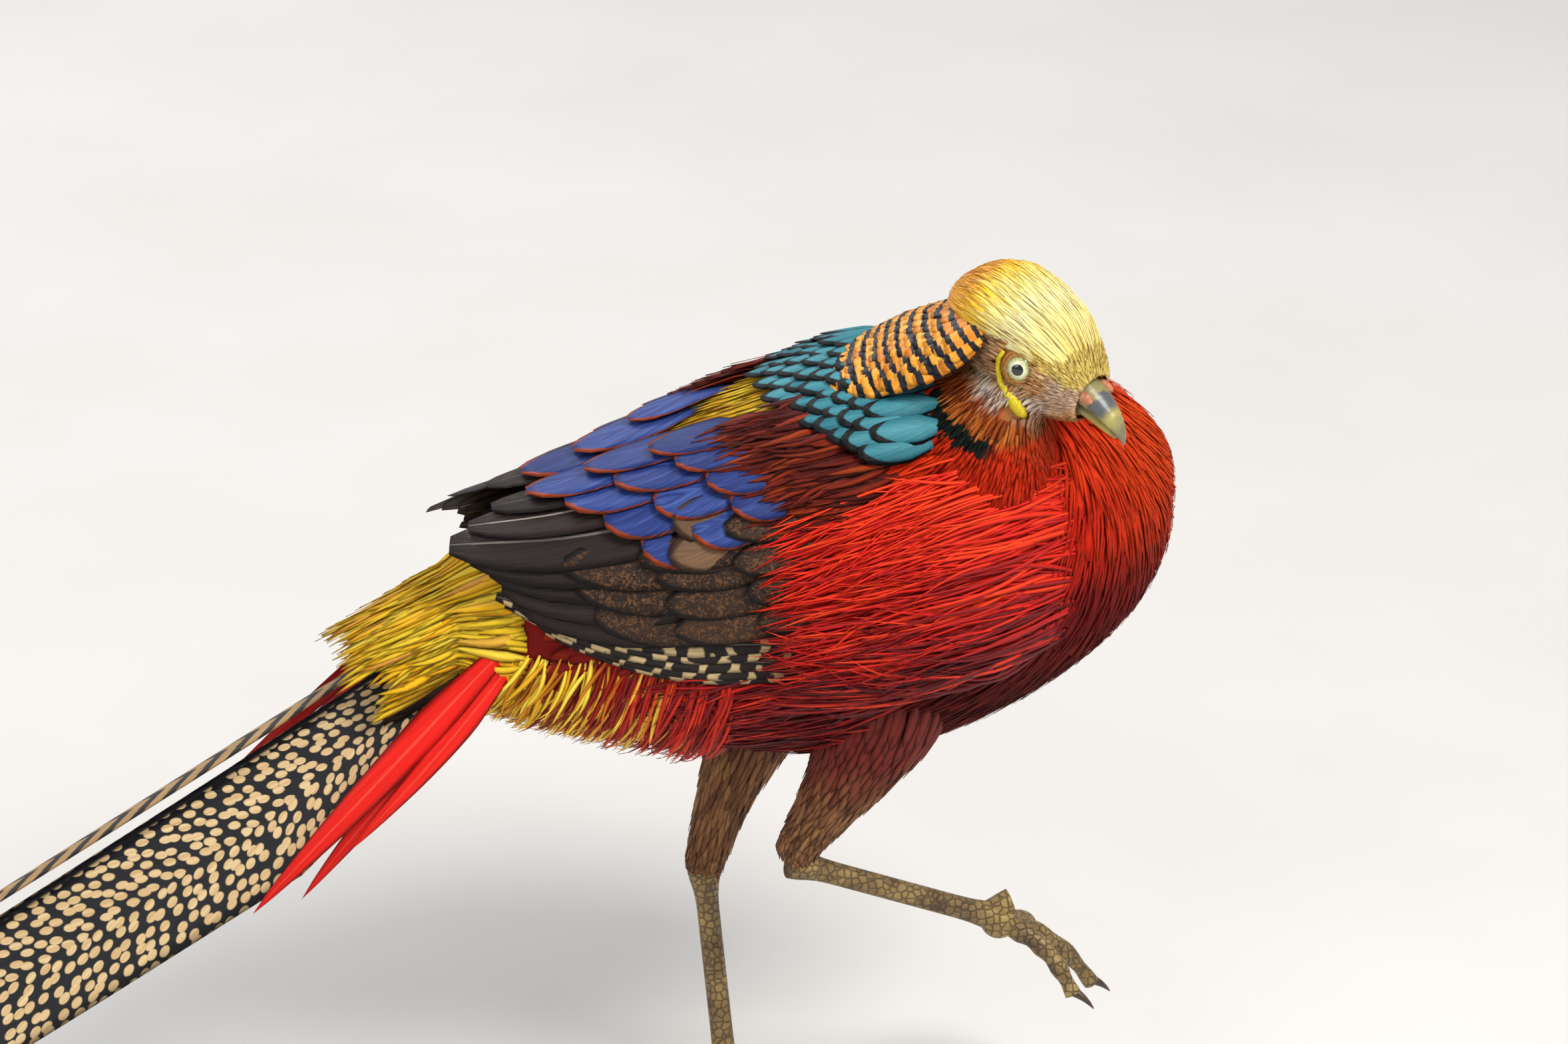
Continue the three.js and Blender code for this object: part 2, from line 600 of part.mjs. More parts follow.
// Golden plumes of the rump: a strip up the back between the wings, and locks over the tail's root
function rumpSolid(grow = 0) {
  const place = (u, v, h) => onBody(mix(-56, 32 + grow, u), mix(-11 - 2 * grow, 11 + 2 * grow, v), h);
  const locks = [];
  const plume = (from, to, wide, rise) => locks.push(laid(onRump, {
    from, to, wide, shape: POINTED, rise, steps: 2, sunk: -1, thick: 0.7, grow,
  }));
  for (const x of [26, 4]) {
    for (const degrees of [-6, 6]) plume([x, degrees], [x - 26, degrees], 7, 4);
  }
  for (const [x, places] of [[-54, 4], [-68, 5], [-80, 4]]) {
    for (let i = 0; i < places; i++) {
      const degrees = mix(-78, 78, i / (places - 1));
      plume([x, degrees], [x - 36, degrees * 0.9], 12, 5);
    }
  }
  return union([rumpCore(grow), plate(place, () => grow + 2, 3, 8, -1 - grow), ...locks]);
}

// Long scarlet coverts hanging beside the tail's root
function covertSolid(sign, grow = 0) {
  const feathers = [];
  for (const [i, [length, drop, aside]] of [[98, 31, 39], [80, 36, 36], [64, 22, 42]].entries()) {
    const points = [];
    const normals = [];
    for (let k = 0; k <= 4; k++) {
      const u = k / 4;
      const bowed = sign * (mix(29, aside, u) + 4 * Math.sin(Math.PI * u));
      points.push(byTail(mix(-4, length, u), bowed, -4 - 3 * i - drop * u ** 1.6));
      normals.push(tailAside.clone().multiplyScalar(sign).addScaledVector(tailUp(length * u), 0.5));
    }
    feathers.push(vane({ points, normals, width: (u) => 13 * POINTED(u), thick: 1, grow }));
  }
  const bud = new THREE.SphereGeometry(1, 12, 8);
  bud.scale(9 + grow, 3.4 + grow, 8 + grow);
  bud.translate(...byTail(1, sign * 29.5, -8).toArray());
  return union([solid(bud), ...feathers]);
}

// Tail: rows of each pair's length as a share, distance aside, drop below the middle pair, lean
const PAIRS = 7;
const TAIL_LAYER = 1.6; // from one feather down to the next
const TAIL_LEAN = 44; // degrees each side slopes, like a roof
function tailPair(k) {
  return {
    length: TAIL_LENGTH * [1, 0.8, 0.64, 0.52, 0.42, 0.34, 0.27][k],
    wide: [48, 40, 36, 32, 29, 27, 25][k],
  };
}
function tailVane(k, sign, grow = 0) {
  const { length, wide } = tailPair(k);
  const count = Math.round(mix(3, 9, length / TAIL_LENGTH));
  const shape = (u) => Math.min(0.45 + 4 * u, 1) * (1 - u ** 7) ** 0.7 * mix(1, 0.72, u);
  const points = [];
  const normals = [];
  for (let i = 0; i <= count; i++) {
    const u = i / count;
    const s = u * length;
    const onFloor = clamp((s - 260) / 260, 0, 1);
    const lean = sign * TAIL_LEAN * RAD * (1 - onFloor);
    const up = tailUp(s).multiplyScalar(Math.cos(lean)).addScaledVector(tailAside, Math.sin(lean));
    const out = tailAside.clone().multiplyScalar(sign * Math.cos(lean))
      .addScaledVector(tailUp(s), -Math.abs(Math.sin(lean)));
    const inner = mix(0.8, 2.4, clamp(u * 3, 0, 1)) + 0.9 * k;
    points.push(tailLine(s).addScaledVector(out, inner + (wide / 2) * shape(u))
      .addScaledVector(up, -TAIL_LAYER * k * mix(1, 0.75, onFloor)));
    normals.push(up);
  }
  return vane({ points, normals, width: (u) => wide * shape(u), thick: 0.8, grow });
}
function tailSolid(grow = 0) {
  const vanes = [];
  for (let k = 0; k < PAIRS; k++) vanes.push(tailVane(k, 1, grow), tailVane(k, -1, grow));
  return union([tailRoot(grow), ...vanes]);
}
function tailRoot(grow = 0) {
  const middle = (s) => byTail(s, 0, -6).toArray();
  return limb([-4, 4, 14, 26].map(middle), [[8, 7], [11, 8.5], [12, 8.5], [7, 5]], 14, grow, [0, 0, 1]);
}

// Legs
const HOCK_LEFT = [6, 5, 4 + TARSUS];
const PAD_X = 13; // the standing foot's pad, ahead of the hind toe's tip at the origin
const ANKLE_LEFT = [PAD_X, 0, 8];
const HOCK_RIGHT = [28, -38, 113];
const ANKLE_RIGHT = [106, -33, 77];
const THIGH_LEFT = [[42, 14, 188], [34, 13, 160], [24, 11, 138], [14, 8, 116], [6.8, 5.3, 95]];
const THIGH_RIGHT = [[66, -34, 190], [60, -37, 166], [49, -39, 146], [37, -39, 129], [29.5, -38, 117]];
const THIGH_RADII = [[19, 27], [17, 22], [12, 15], [8.4, 9.6], [6, 6.8]];
function thighSolid(points, grow = 0) {
  return limb(smooth(points, 7), smooth(THIGH_RADII, 7), 12, grow);
}
const HOCK_SOCKET = 0.05; // share of the shank that goes on up into the thigh
function shankSolid(hock, ankle, foreHint) {
  const rows = [];
  const radii = [];
  const steps = 11;
  for (let i = 0; i <= steps; i++) {
    const u = mix(-HOCK_SOCKET, 1, i / steps);
    rows.push(vec(hock).lerp(vec(ankle), u).toArray());
    const joint = 2.2 * Math.exp(-((u / 0.09) ** 2)) + 1.6 * Math.exp(-(((1 - u) / 0.1) ** 2));
    radii.push([3.9 + joint * 0.8, 4.6 + joint]);
  }
  return limb(rows, radii, 9, 0, foreHint);
}

// Toes: length, angle from straight ahead (towards the outer side), number of joints
const TOE_STEPS = 5;
const FLAT_SINK = 0.8; // how far the soles are pressed flat
const TOES = [
  { name: "inner", length: 35, turn: -34, joints: 2 },
  { name: "middle", length: 47, turn: -2, joints: 3 },
  { name: "outer", length: 37, turn: 30, joints: 4 },
  { name: "hind", length: 17, turn: 180, joints: 1 },
];
const toeRadius = (u) => mix(4.4, 2.7, u);
function toePath(foot, toe) {
  const turn = foot.outer * toe.turn * RAD;
  const way = foot.ahead.clone().multiplyScalar(Math.cos(turn))
    .addScaledVector(foot.aside, Math.sin(turn));
  const hind = toe.name === "hind";
  const points = [];
  for (let i = 0; i <= TOE_STEPS; i++) {
    const u = i / TOE_STEPS;
    const rest = toeRadius(u) - FLAT_SINK - vec(foot.ankle).dot(foot.up) + foot.level;
    const arched = foot.arch * Math.sin(Math.PI * u) - foot.curl * u * u;
    const high = hind ? 9 * (1 - Math.min(u / 0.55, 1)) : arched;
    points.push(vec(foot.ankle).addScaledVector(way, toe.length * u)
      .addScaledVector(foot.up, rest + high).toArray());
  }
  return { points, way };
}
function toeSolid(foot, toe) {
  const { points } = toePath(foot, toe);
  const radii = points.map((_, i) => {
    const u = i / TOE_STEPS;
    return toeRadius(u) + 0.4 * Math.cos(2 * Math.PI * toe.joints * u);
  });
  return limb(points, radii, 6, 0, foot.up.toArray());
}
function clawSolid(foot, toe, grow = 0) {
  const { points, way } = toePath(foot, toe);
  const tip = vec(points[TOE_STEPS]);
  const length = toe.name === "hind" ? 6 : 10;
  const rows = [];
  const radii = [];
  for (let i = 0; i <= 3; i++) {
    const u = i / 3;
    rows.push(tip.clone().addScaledVector(way, length * u - 1)
      .addScaledVector(foot.up, 0.9 + 1.1 * u - 2.6 * u * u).toArray());
    radii.push(mix(1.9, 0.25, u ** 1.3) + grow);
  }
  return limb(rows, radii, 5, 0, foot.up.toArray());
}
const STANDING = {
  ankle: [PAD_X, 0, 6.6], ahead: new THREE.Vector3(1, 0, 0), aside: new THREE.Vector3(0, 1, 0),
  up: new THREE.Vector3(0, 0, 1), outer: 1, arch: 0, curl: 0, level: 0,
};
const rightAhead = new THREE.Vector3(Math.cos(30 * RAD), 0.03, -Math.sin(30 * RAD)).normalize();
const rightUp = new THREE.Vector3(Math.sin(30 * RAD), 0, Math.cos(30 * RAD));
const LIFTED = {
  ankle: ANKLE_RIGHT, ahead: rightAhead, aside: new THREE.Vector3(0, -1, 0),
  up: rightUp, outer: 1, arch: 3, curl: 7, level: vec(ANKLE_RIGHT).dot(rightUp) - 4,
};
function floorBlock(top = 0) {
  const block = new THREE.BoxGeometry(1600, 600, 40);
  block.translate(-200, 0, top - 20);
  return solid(block);
}
function footSolid(foot, pad) {
  const toes = TOES.map((toe) => toeSolid(foot, toe));
  const ball = new THREE.SphereGeometry(1, 10, 7);
  ball.scale(7, 6.4, pad);
  ball.translate(...foot.ankle);
  return union([...toes, solid(ball)]);
}

// Assembly
const group = new THREE.Group();
const FINISH = {
  scarlet: [0xb00d08, 0.75], golden: [0xf2b632, 0.6], pale_gold: [0xf3d66b, 0.5], buff: [0xa9713c, 0.8],
  barred: [0xe08a1e, 0.6], green: [0x2f8a86, 0.45], wing: [0x3a3f78, 0.6], tail: [0xb08a58, 0.7],
  horn: [0xb9a04a, 0.4], skin: [0x9a7a3c, 0.6], eye: [0xe9e3a8, 0.1], claw: [0x5b4a35, 0.4],
  chestnut: [0x7a2c14, 0.8],
};
function add(name, finish, made) {
  const { vertProperties, triVerts, numProp } = largest(made).getMesh();
  const position = new Float32Array((vertProperties.length / numProp) * 3);
  for (let i = 0; i < position.length / 3; i++) {
    position.set(vertProperties.subarray(i * numProp, i * numProp + 3), i * 3);
  }
  const geometry = new THREE.BufferGeometry();
  geometry.setAttribute("position", new THREE.BufferAttribute(position, 3));
  geometry.setIndex(new THREE.BufferAttribute(new Uint32Array(triVerts), 1));
  const [color, roughness] = FINISH[finish];
  const mesh = new THREE.Mesh(geometry, new THREE.MeshStandardMaterial({ color, roughness, metalness: 0 }));
  mesh.name = name;
  group.add(mesh);
}

const without = (made, ...others) => others.reduce((left, o) => left.subtract(o), made);
const torsoGrown = torsoSolid(GAP);
const rumpGrown = rumpCore(GAP);
const headGrown = headSolid(GAP);
const neckGrown = neckSolid(GAP);
const eyesGrown = [eyeSolid(1, GAP), eyeSolid(-1, GAP)];
const billGrown = [billSolid(BILL_UPPER, GAP), billSolid(BILL_LOWER, GAP)];

add("torso", "scarlet", torsoSolid());
const rims = (grow) => [1, -1].flatMap((sign) => [lidSolid(sign, grow), wattleSolid(sign, grow)]);
const headWhole = union([headSolid(), ...rims(0)]);
add("head", "buff", without(headWhole, ...eyesGrown, ...billGrown));
add("eye_right", "eye", eyeSolid(1));
add("eye_left", "eye", eyeSolid(-1));
add("bill_upper", "horn", without(billSolid(BILL_UPPER), nostrilSolid(1), nostrilSolid(-1)));
add("bill_lower", "horn", without(billSolid(BILL_LOWER), billGrown[0]));
const crestGrown = crestSolid(GAP);
const face = [...eyesGrown, ...billGrown, ...rims(GAP)];
add("neck", "scarlet", without(neckSolid(), torsoGrown, headGrown, crestGrown, ...face));
const capeCover = capeLoft.solid(8, 18, CAPE_RISE + 1.5);
const mantleCover = mantlePlate(() => 8.4, 90, 18, 9);
const plumesGrown = [plumesSolid(1, GAP), plumesSolid(-1, GAP)];
const wingsGrown = [wingSolid(1, GAP), wingSolid(-1, GAP)];
const rumpAllGrown = rumpSolid(GAP);
const tailGrown = tailRoot(GAP);
add("crest", "pale_gold", without(crestSolid(), headGrown, ...face));
add("cape", "barred", without(capeSolid(), headGrown, neckGrown, torsoGrown, crestGrown));
add("mantle", "green", without(mantleSolid(), torsoGrown, neckGrown, capeCover));
for (const [i, side] of ["right", "left"].entries()) {
  const sign = 1 - 2 * i;
  const under = [torsoGrown, rumpGrown, neckGrown, capeCover, mantleCover];
  add("plumes_" + side, "scarlet", without(plumesSolid(sign), ...under));
  add("wing_" + side, "wing", without(wingSolid(sign), ...under, plumesGrown[i]));
}
const sides = [...plumesGrown, ...wingsGrown];
add("rump", "golden", without(rumpSolid(), torsoGrown, tailGrown, mantleCover, ...sides));
add("tail", "tail", without(tailSolid(), rumpAllGrown, ...wingsGrown, floorBlock()));
const tailAllGrown = tailSolid(GAP);
for (const [i, side] of ["right", "left"].entries()) {
  add("coverts_" + side, "scarlet", without(covertSolid(1 - 2 * i), rumpAllGrown, tailAllGrown, ...sides));
}

add("thigh_left", "chestnut", without(thighSolid(THIGH_LEFT), torsoGrown));
add("thigh_right", "chestnut", without(thighSolid(THIGH_RIGHT), torsoGrown));
const thighsGrown = [thighSolid(THIGH_LEFT, GAP), thighSolid(THIGH_RIGHT, GAP)];
for (const [side, foot, hock, ankle, hint, pad] of [
  ["left", STANDING, HOCK_LEFT, ANKLE_LEFT, [1, 0, 0], 6.6 + FLAT_SINK],
  ["right", LIFTED, HOCK_RIGHT, ANKLE_RIGHT, [0.4, 0, 1], 5.6],
]) {
  const claws = TOES.map((toe) => clawSolid(foot, toe, GAP));
  const footMade = footSolid(foot, pad);
  add("foot_" + side, "skin", without(footMade, ...claws, floorBlock()));
  const footGrown = footSolid(foot, pad + GAP);
  add("shank_" + side, "skin", without(shankSolid(hock, ankle, hint), footGrown, ...thighsGrown, ...claws));
  for (const toe of TOES) {
    add("claw_" + side + "_" + toe.name, "claw", without(clawSolid(foot, toe), floorBlock()));
  }
}

export default group;
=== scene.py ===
import math

import bmesh
import bpy
import numpy as np
from mathutils import Matrix, Vector


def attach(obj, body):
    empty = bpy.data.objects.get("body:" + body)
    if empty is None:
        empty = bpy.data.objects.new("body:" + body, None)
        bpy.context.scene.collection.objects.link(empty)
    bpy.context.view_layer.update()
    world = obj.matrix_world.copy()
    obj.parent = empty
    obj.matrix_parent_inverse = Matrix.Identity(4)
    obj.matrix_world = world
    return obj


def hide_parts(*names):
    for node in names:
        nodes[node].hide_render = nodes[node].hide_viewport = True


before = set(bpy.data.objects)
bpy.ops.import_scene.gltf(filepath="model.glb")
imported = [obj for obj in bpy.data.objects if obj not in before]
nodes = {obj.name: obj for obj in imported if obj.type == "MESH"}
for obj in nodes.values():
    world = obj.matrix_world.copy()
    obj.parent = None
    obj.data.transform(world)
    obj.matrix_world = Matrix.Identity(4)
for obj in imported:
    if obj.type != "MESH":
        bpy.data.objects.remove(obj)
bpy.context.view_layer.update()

# Camera, floor and light
# A long lens looks down on the bird from behind its right shoulder, on a pale studio floor
# under one large soft key and two fills.
VIEW_WIDTH = 2356  # pixels across the picture
FOCAL_LENGTH = 8600  # pixels
SENSOR_WIDTH = 36
LOOK_TURN = math.radians(14)  # clockwise from the bird's left
LOOK_DOWN = math.radians(24)
CAMERA_AT = (-0.40963, -1.78190, 1.04484)
FLOOR_HALF = 8
BODY_AIM = (0.02, 0, 0.2)
DAYLIGHT = (0.9, 0.93, 1, 1)

camera_data = bpy.data.cameras.new("camera")
camera_data.sensor_width = SENSOR_WIDTH
camera_data.lens = FOCAL_LENGTH / VIEW_WIDTH * SENSOR_WIDTH
camera_data.clip_end = 50
camera = bpy.data.objects.new("camera", camera_data)
bpy.context.collection.objects.link(camera)
camera.location = CAMERA_AT
camera.rotation_euler = (math.pi / 2 - LOOK_DOWN, 0, -LOOK_TURN)
bpy.context.scene.camera = camera


def link(name, mesh):
    """An object at the origin that shows the mesh."""
    made = bpy.data.objects.new(name, mesh)
    bpy.context.collection.objects.link(made)
    return made


class Wire:
    """A socket in a material. Operators on wires and numbers add Math nodes."""

    def __init__(self, tree, socket=None):
        self.tree = tree
        self.socket = socket

    def node(self, kind, settings=None, out=0, **values):
        """A node's output. Values go to the sockets they name, or i0, i1 and on by number."""
        made = self.tree.nodes.new(kind)
        for key, value in (settings or {}).items():
            if key == "stops":
                bands = made.color_ramp.elements
                while len(bands) < len(value):
                    bands.new(0.5)
                for band, (place, colour) in zip(bands, value):
                    band.position = place
                    band.color = paint(colour)
            else:
                setattr(made, key, value)
        for key, value in values.items():
            numbered = key[0] == "i" and key[1:].isdigit()
            place = made.inputs[int(key[1:]) if numbered else key]
            if isinstance(value, Wire):
                self.tree.links.new(value.socket, place)
            else:
                place.default_value = value
        return Wire(self.tree, made.outputs[out])

    def math(self, operation, *others):
        return self.node("ShaderNodeMath", {"operation": operation}, i0=self,
                         **{f"i{k + 1}": other for k, other in enumerate(others)})

    def __add__(self, other):
        return self.math("ADD", other)

    __radd__ = __add__

    def __sub__(self, other):
        return self.math("SUBTRACT", other)

    def __rsub__(self, other):
        return self.node("ShaderNodeMath", {"operation": "SUBTRACT"}, i0=other, i1=self)

    def __mul__(self, other):
        return self.math("MULTIPLY", other)

    __rmul__ = __mul__

    def over(self, low, high):
        """0 below low, 1 above high, smooth between."""
        return self.node("ShaderNodeMapRange", {"interpolation_type": "SMOOTHSTEP"}, i0=self, i1=low,
                         i2=high)

    def ramp(self, *stops):
        """Colours laid along the value, each stop a place and a hex colour."""
        return self.node("ShaderNodeValToRGB", {"stops": stops}, i0=self)

    def blend(self, first, second):
        """The first colour where this is 0 and the second where it is 1."""
        first, second = [c if isinstance(c, Wire) else paint(c) for c in (first, second)]
        return self.node("ShaderNodeMix", {"data_type": "RGBA"}, out=2, i0=self, i6=first, i7=second)


def paint(colour):
    """A hex colour as linear light."""
    parts = [int(colour[k:k + 2], 16) / 255 for k in (0, 2, 4)]
    return [p / 12.92 if p < 0.04045 else ((p + 0.055) / 1.055) ** 2.4 for p in parts] + [1]


def material(name, look, roughness=0.6, specular=0.5, **extra):
    """look(start) returns the colour, and the height for the bump, if there is one, and its depth."""
    made = bpy.data.materials.new(name)
    made.use_nodes = True
    tree = made.node_tree
    shader = tree.nodes["Principled BSDF"]
    shader.inputs["Roughness"].default_value = roughness
    shader.inputs["Specular IOR Level"].default_value = specular
    for key, value in extra.items():
        shader.inputs[key.replace("_", " ")].default_value = value
    colour, height, depth = look(Wire(tree))
    tree.links.new(colour.socket, shader.inputs["Base Color"])
    if height:
        bump = height.node("ShaderNodeBump", Height=height, Distance=depth)
        tree.links.new(bump.socket, shader.inputs["Normal"])
    return made


def noise(start, scale, detail=2.0, **more):
    """Soft noise over the piece, about 0 to 1, with so many spots to a metre."""
    at = start.node("ShaderNodeTexCoord", out=3)
    return start.node("ShaderNodeTexNoise", Vector=at, Scale=scale, Detail=detail, **more)


def floor_look(start):
    return noise(start, 6.0, 3.0).ramp((0.3, "D9D6D0"), (0.7, "DEDBD6")), None, 0


bm = bmesh.new()
bmesh.ops.create_grid(bm, x_segments=1, y_segments=1, size=FLOOR_HALF)
floor_mesh = bpy.data.meshes.new("floor")
bm.to_mesh(floor_mesh)
bm.free()
floor = link("floor", floor_mesh)
floor_mesh.materials.append(material("floor_paint", floor_look, 0.9))


def soft_light(name, at, aim, size, power, colour):
    """A round lamp of that size in metres, turned to the aim."""
    data = bpy.data.lights.new(name, "AREA")
    data.shape = "DISK"
    data.size = size
    data.energy = power
    data.color = colour
    lamp = bpy.data.objects.new(name, data)
    bpy.context.collection.objects.link(lamp)
    lamp.location = at
    lamp.rotation_euler = (Vector(aim) - Vector(at)).to_track_quat("-Z", "Y").to_euler()


soft_light("key", (0.9, -1.1, 1.9), BODY_AIM, 0.9, 42, (1, 0.97, 0.93))
soft_light("fill", (-1.8, -1.4, 1.3), BODY_AIM, 1.6, 16, (0.93, 0.96, 1))
soft_light("rim", (-0.6, 1.6, 1.7), BODY_AIM, 1.2, 22, (1, 1, 1))
world = bpy.data.worlds.new("studio")
world.use_nodes = True
sky = world.node_tree.nodes["Background"]
sky.inputs["Color"].default_value = DAYLIGHT
sky.inputs["Strength"].default_value = 0.5
bpy.context.scene.world = world
bpy.context.scene.view_settings.view_transform = "Standard"

# Skin
# One closed skin, so that nothing shows through between the feathers. It is the nodes of trunk,
# neck, head and thighs fused with a closed rump, then smoothed and sunk a little. The coat is
# laid on lofts with the same oval sections, in millimetres.
MID_Y = -6
TORSO = [  # x, lowest z, highest z and half width
    (-96, 203, 207, 3), (-90, 192, 217, 15), (-76, 180, 229, 28), (-52, 170, 243, 38),
    (-20, 160, 258, 47), (15, 151, 273, 53), (50, 146, 286, 55), (82, 148, 293, 54),
    (110, 157, 291, 50), (135, 170, 281, 43), (155, 186, 267, 33), (168, 206, 253, 20), (173, 226, 240, 6),
]
RUMP_XS = (-40, -52, -64, -76, -86, -94)
SKIN_VOXEL = 0.0021
SKIN_SUNK = 0.0012
SKIN_SMOOTHINGS = 4


def unit(v):
    """Directions of length 1."""
    return v / np.maximum(np.linalg.norm(v, axis=-1, keepdims=True), 1e-9)


def along(rows, t):
    """A smooth curve through rows of numbers at places t."""
    rows = np.asarray(rows, float)
    last = len(rows) - 1
    i = np.clip(np.floor(t), 0, last - 1).astype(int)
    f = (t - i)[..., None]
    p0, p1, p2, p3 = (rows[np.clip(i + k, 0, last)] for k in (-1, 0, 1, 2))
    s1, s2 = (p2 - p0) / 2, (p3 - p1) / 2
    return ((2 * f**3 - 3 * f**2 + 1) * p1 + (f**3 - 2 * f**2 + f) * s1
            + (3 * f**2 - 2 * f**3) * p2 + (f**3 - f**2) * s2)


class Loft:
    """Sections of centre, up and right directions, and reaches up, down and aside."""

    def __init__(self, rows, squareness=2.25):
        self.rows = np.array([np.concatenate([np.ravel(c) for c in row]) for row in rows], float)
        self.end = len(rows) - 1
        self.power = 2 / squareness
        self.turn = 1
        middle = np.array([self.end / 2])
        out = self.on(middle, 0 * middle) - self.on(middle, 0 * middle + math.pi)
        self.turn = np.sign(np.sum(self.normal(middle, 0 * middle) * out))

    def on(self, t, angle):
        """Points at places t along the rows and angles round them from up."""
        v = along(self.rows, np.clip(t, 0, self.end))
        up, right = unit(v[..., 3:6]), unit(v[..., 6:9])
        c, s = np.cos(angle), np.sin(angle)
        reach = np.maximum(np.where(c > 0, v[..., 9], v[..., 10]), 0.05)
        side = np.maximum(v[..., 11], 0.05)
        return (v[..., :3] + up * (reach * np.sign(c) * np.abs(c) ** self.power)[..., None]
                + right * (side * np.sign(s) * np.abs(s) ** self.power)[..., None])

    def normal(self, t, angle):
        step = 0.02
        way = self.on(np.minimum(t + step, self.end), angle) - self.on(np.maximum(t - step, 0), angle)
        round_it = self.on(t, angle + step) - self.on(t, angle - step)
        return unit(np.cross(round_it, way)) * self.turn

    def place(self, t, degrees, high):
        """Points standing high over the loft's surface."""
        angle = np.radians(degrees)
        return self.on(t, angle) + self.normal(t, angle) * high[..., None]


def across_body(rows):
    """A loft over rows of x, lowest z, highest z and half width, and its t for an x."""
    loft = Loft([((x, MID_Y, (low + high) / 2), (0, 0, 1), (0, -1, 0), (high - low) / 2,
                  (high - low) / 2, side) for x, low, high, side in rows])
    xs = [row[0] for row in rows]
    return lambda x, degrees, high: loft.place(np.interp(x, xs, range(len(xs))), degrees, high)


def wrap(bm, rings, closed=False):
    """Faces from each ring of points to the next, capped at both ends unless the rings close."""
    for one, two in zip(rings, rings[1:] + rings[:1] if closed else rings[1:]):
        for k in range(len(one)):
            bm.faces.new((one[k - 1], one[k], two[k], two[k - 1]))
    if not closed:
        bm.faces.new(rings[0])
        bm.faces.new(rings[-1][::-1])


on_body = across_body(TORSO)
skin_bm = bmesh.new()
for name in ("torso", "neck", "head", "thigh_left", "thigh_right"):
    part = bmesh.new()
    part.from_mesh(nodes[name].data)
    bmesh.ops.remove_doubles(part, verts=part.verts, dist=1e-5)
    joined = bpy.data.meshes.new("joined")
    part.to_mesh(joined)
    part.free()
    skin_bm.from_mesh(joined)
    bpy.data.meshes.remove(joined)
rump_rings = [[skin_bm.verts.new(on_body(np.array([x]), np.array([d]), np.array([0.0]))[0] / 1000)
               for d in np.arange(0.0, 360, 15)] for x in np.array(RUMP_XS, float)]
wrap(skin_bm, rump_rings)
rump_faces = {f for v in sum(rump_rings, []) for f in v.link_faces}
bmesh.ops.recalc_face_normals(skin_bm, faces=list(rump_faces))
skin_mesh = bpy.data.meshes.new("skin")
skin_bm.to_mesh(skin_mesh)
skin_bm.free()
skin = link("skin", skin_mesh)
skin_mesh.remesh_voxel_size = SKIN_VOXEL
bpy.context.view_layer.objects.active = skin
skin.select_set(True)
bpy.ops.object.voxel_remesh()
skin_bm = bmesh.new()
skin_bm.from_mesh(skin.data)
for _ in range(SKIN_SMOOTHINGS):
    bmesh.ops.smooth_vert(skin_bm, verts=skin_bm.verts, factor=0.5, use_axis_x=True, use_axis_y=True,
                          use_axis_z=True)
for v in skin_bm.verts:
    v.co -= v.normal * SKIN_SUNK
skin_bm.to_mesh(skin.data)
skin_bm.free()
bpy.ops.object.mode_set(mode="EDIT")
bpy.ops.mesh.select_all(action="SELECT")
bpy.ops.uv.smart_project(angle_limit=1.1, island_margin=0.002)
bpy.ops.object.mode_set(mode="OBJECT")
skin.data.uv_layers[0].name = "OFBake"
for face in skin.data.polygons:
    face.use_smooth = True


def spot(start):
    """Where a point is, in millimetres of the bird's own frame: x, y, z."""
    at = start.node("ShaderNodeTexCoord", out=3)
    return [at.node("ShaderNodeSeparateXYZ", out=k, i0=at) * 1000 for k in range(3)]


def body_colour(start):
    """The coat's colour by place on the body: orange-red high on the breast, crimson below, darkening to
    painted shade under the belly.
    """
    x, _, z = spot(start)
    cloud = noise(start, 38.0)
    # Darker towards the underside: the coat's own crimson, with the ramp's near-black low end painted
    # shade.
    height = (z + (cloud - 0.5) * 40).over(160, 290)
    red = height.ramp((0.0, "44050C"), (0.3, "7C0910"), (0.62, "CC1806"), (1.0, "F23A06"))
    front = (x + (cloud - 0.5) * 30).over(118, 178)
    red = (front * z.over(190, 262) * 0.75).blend(red, "FA580E")
    rear = (-1 * x + (cloud - 0.5) * 24).over(25, 75)
    return (rear * 0.85).blend(red, "6E1006"), cloud


def skin_look(start):
    colour, cloud = body_colour(start)
    x, y, z = spot(start)
    thigh = (-1 * z).over(-156, -140)
    colour = thigh.blend(colour, "7C4A26")
    head = z.over(262, 268) * x.over(92, 100) * (-1 * y).over(16, 24)
    return head.blend(colour, "A8713E"), cloud, 0.001


skin.data.materials.clear()
skin.data.materials.append(material("skin_down", skin_look, 0.85, 0.2))
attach(skin, "root")
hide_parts("torso", "neck", "head", "thigh_left", "thigh_right")

# Breast, belly and flank feathers
# Small rounded body feathers, scarlet and loose-webbed, lying back in close rows over the
# whole trunk. Each is a thin closed vane, sunk at its root and lifted a little at its tip.
NECK_BASE = 112  # x behind which the top of the trunk lies under the neck, cape and mantle
SHOULDER = 78  # x ahead of which the left shoulder lies bare beside the turned neck
RUMP_END = -84
BREAST_END = 171
PATCH = 0.003  # width of a small feather's patch on the bake map
rng = np.random.default_rng(11)


def rounded(u):
    """A feather's width along it, for a round tip."""
    end = np.clip((u - 0.55) / 0.47, 0, 1)
    return np.minimum(0.35 + 1.7 * u, 1) * np.sqrt(np.clip(1 - end**2, 0.004, 1))


def pointed(u):
    return np.minimum(0.4 + 1.8 * u, 1) * np.clip(1 - u**2.2, 0.002, 1) ** 0.8


def strand(u):
    return np.minimum(0.6 + 1.5 * u, 1) * np.clip(1 - u**3, 0.02, 1)


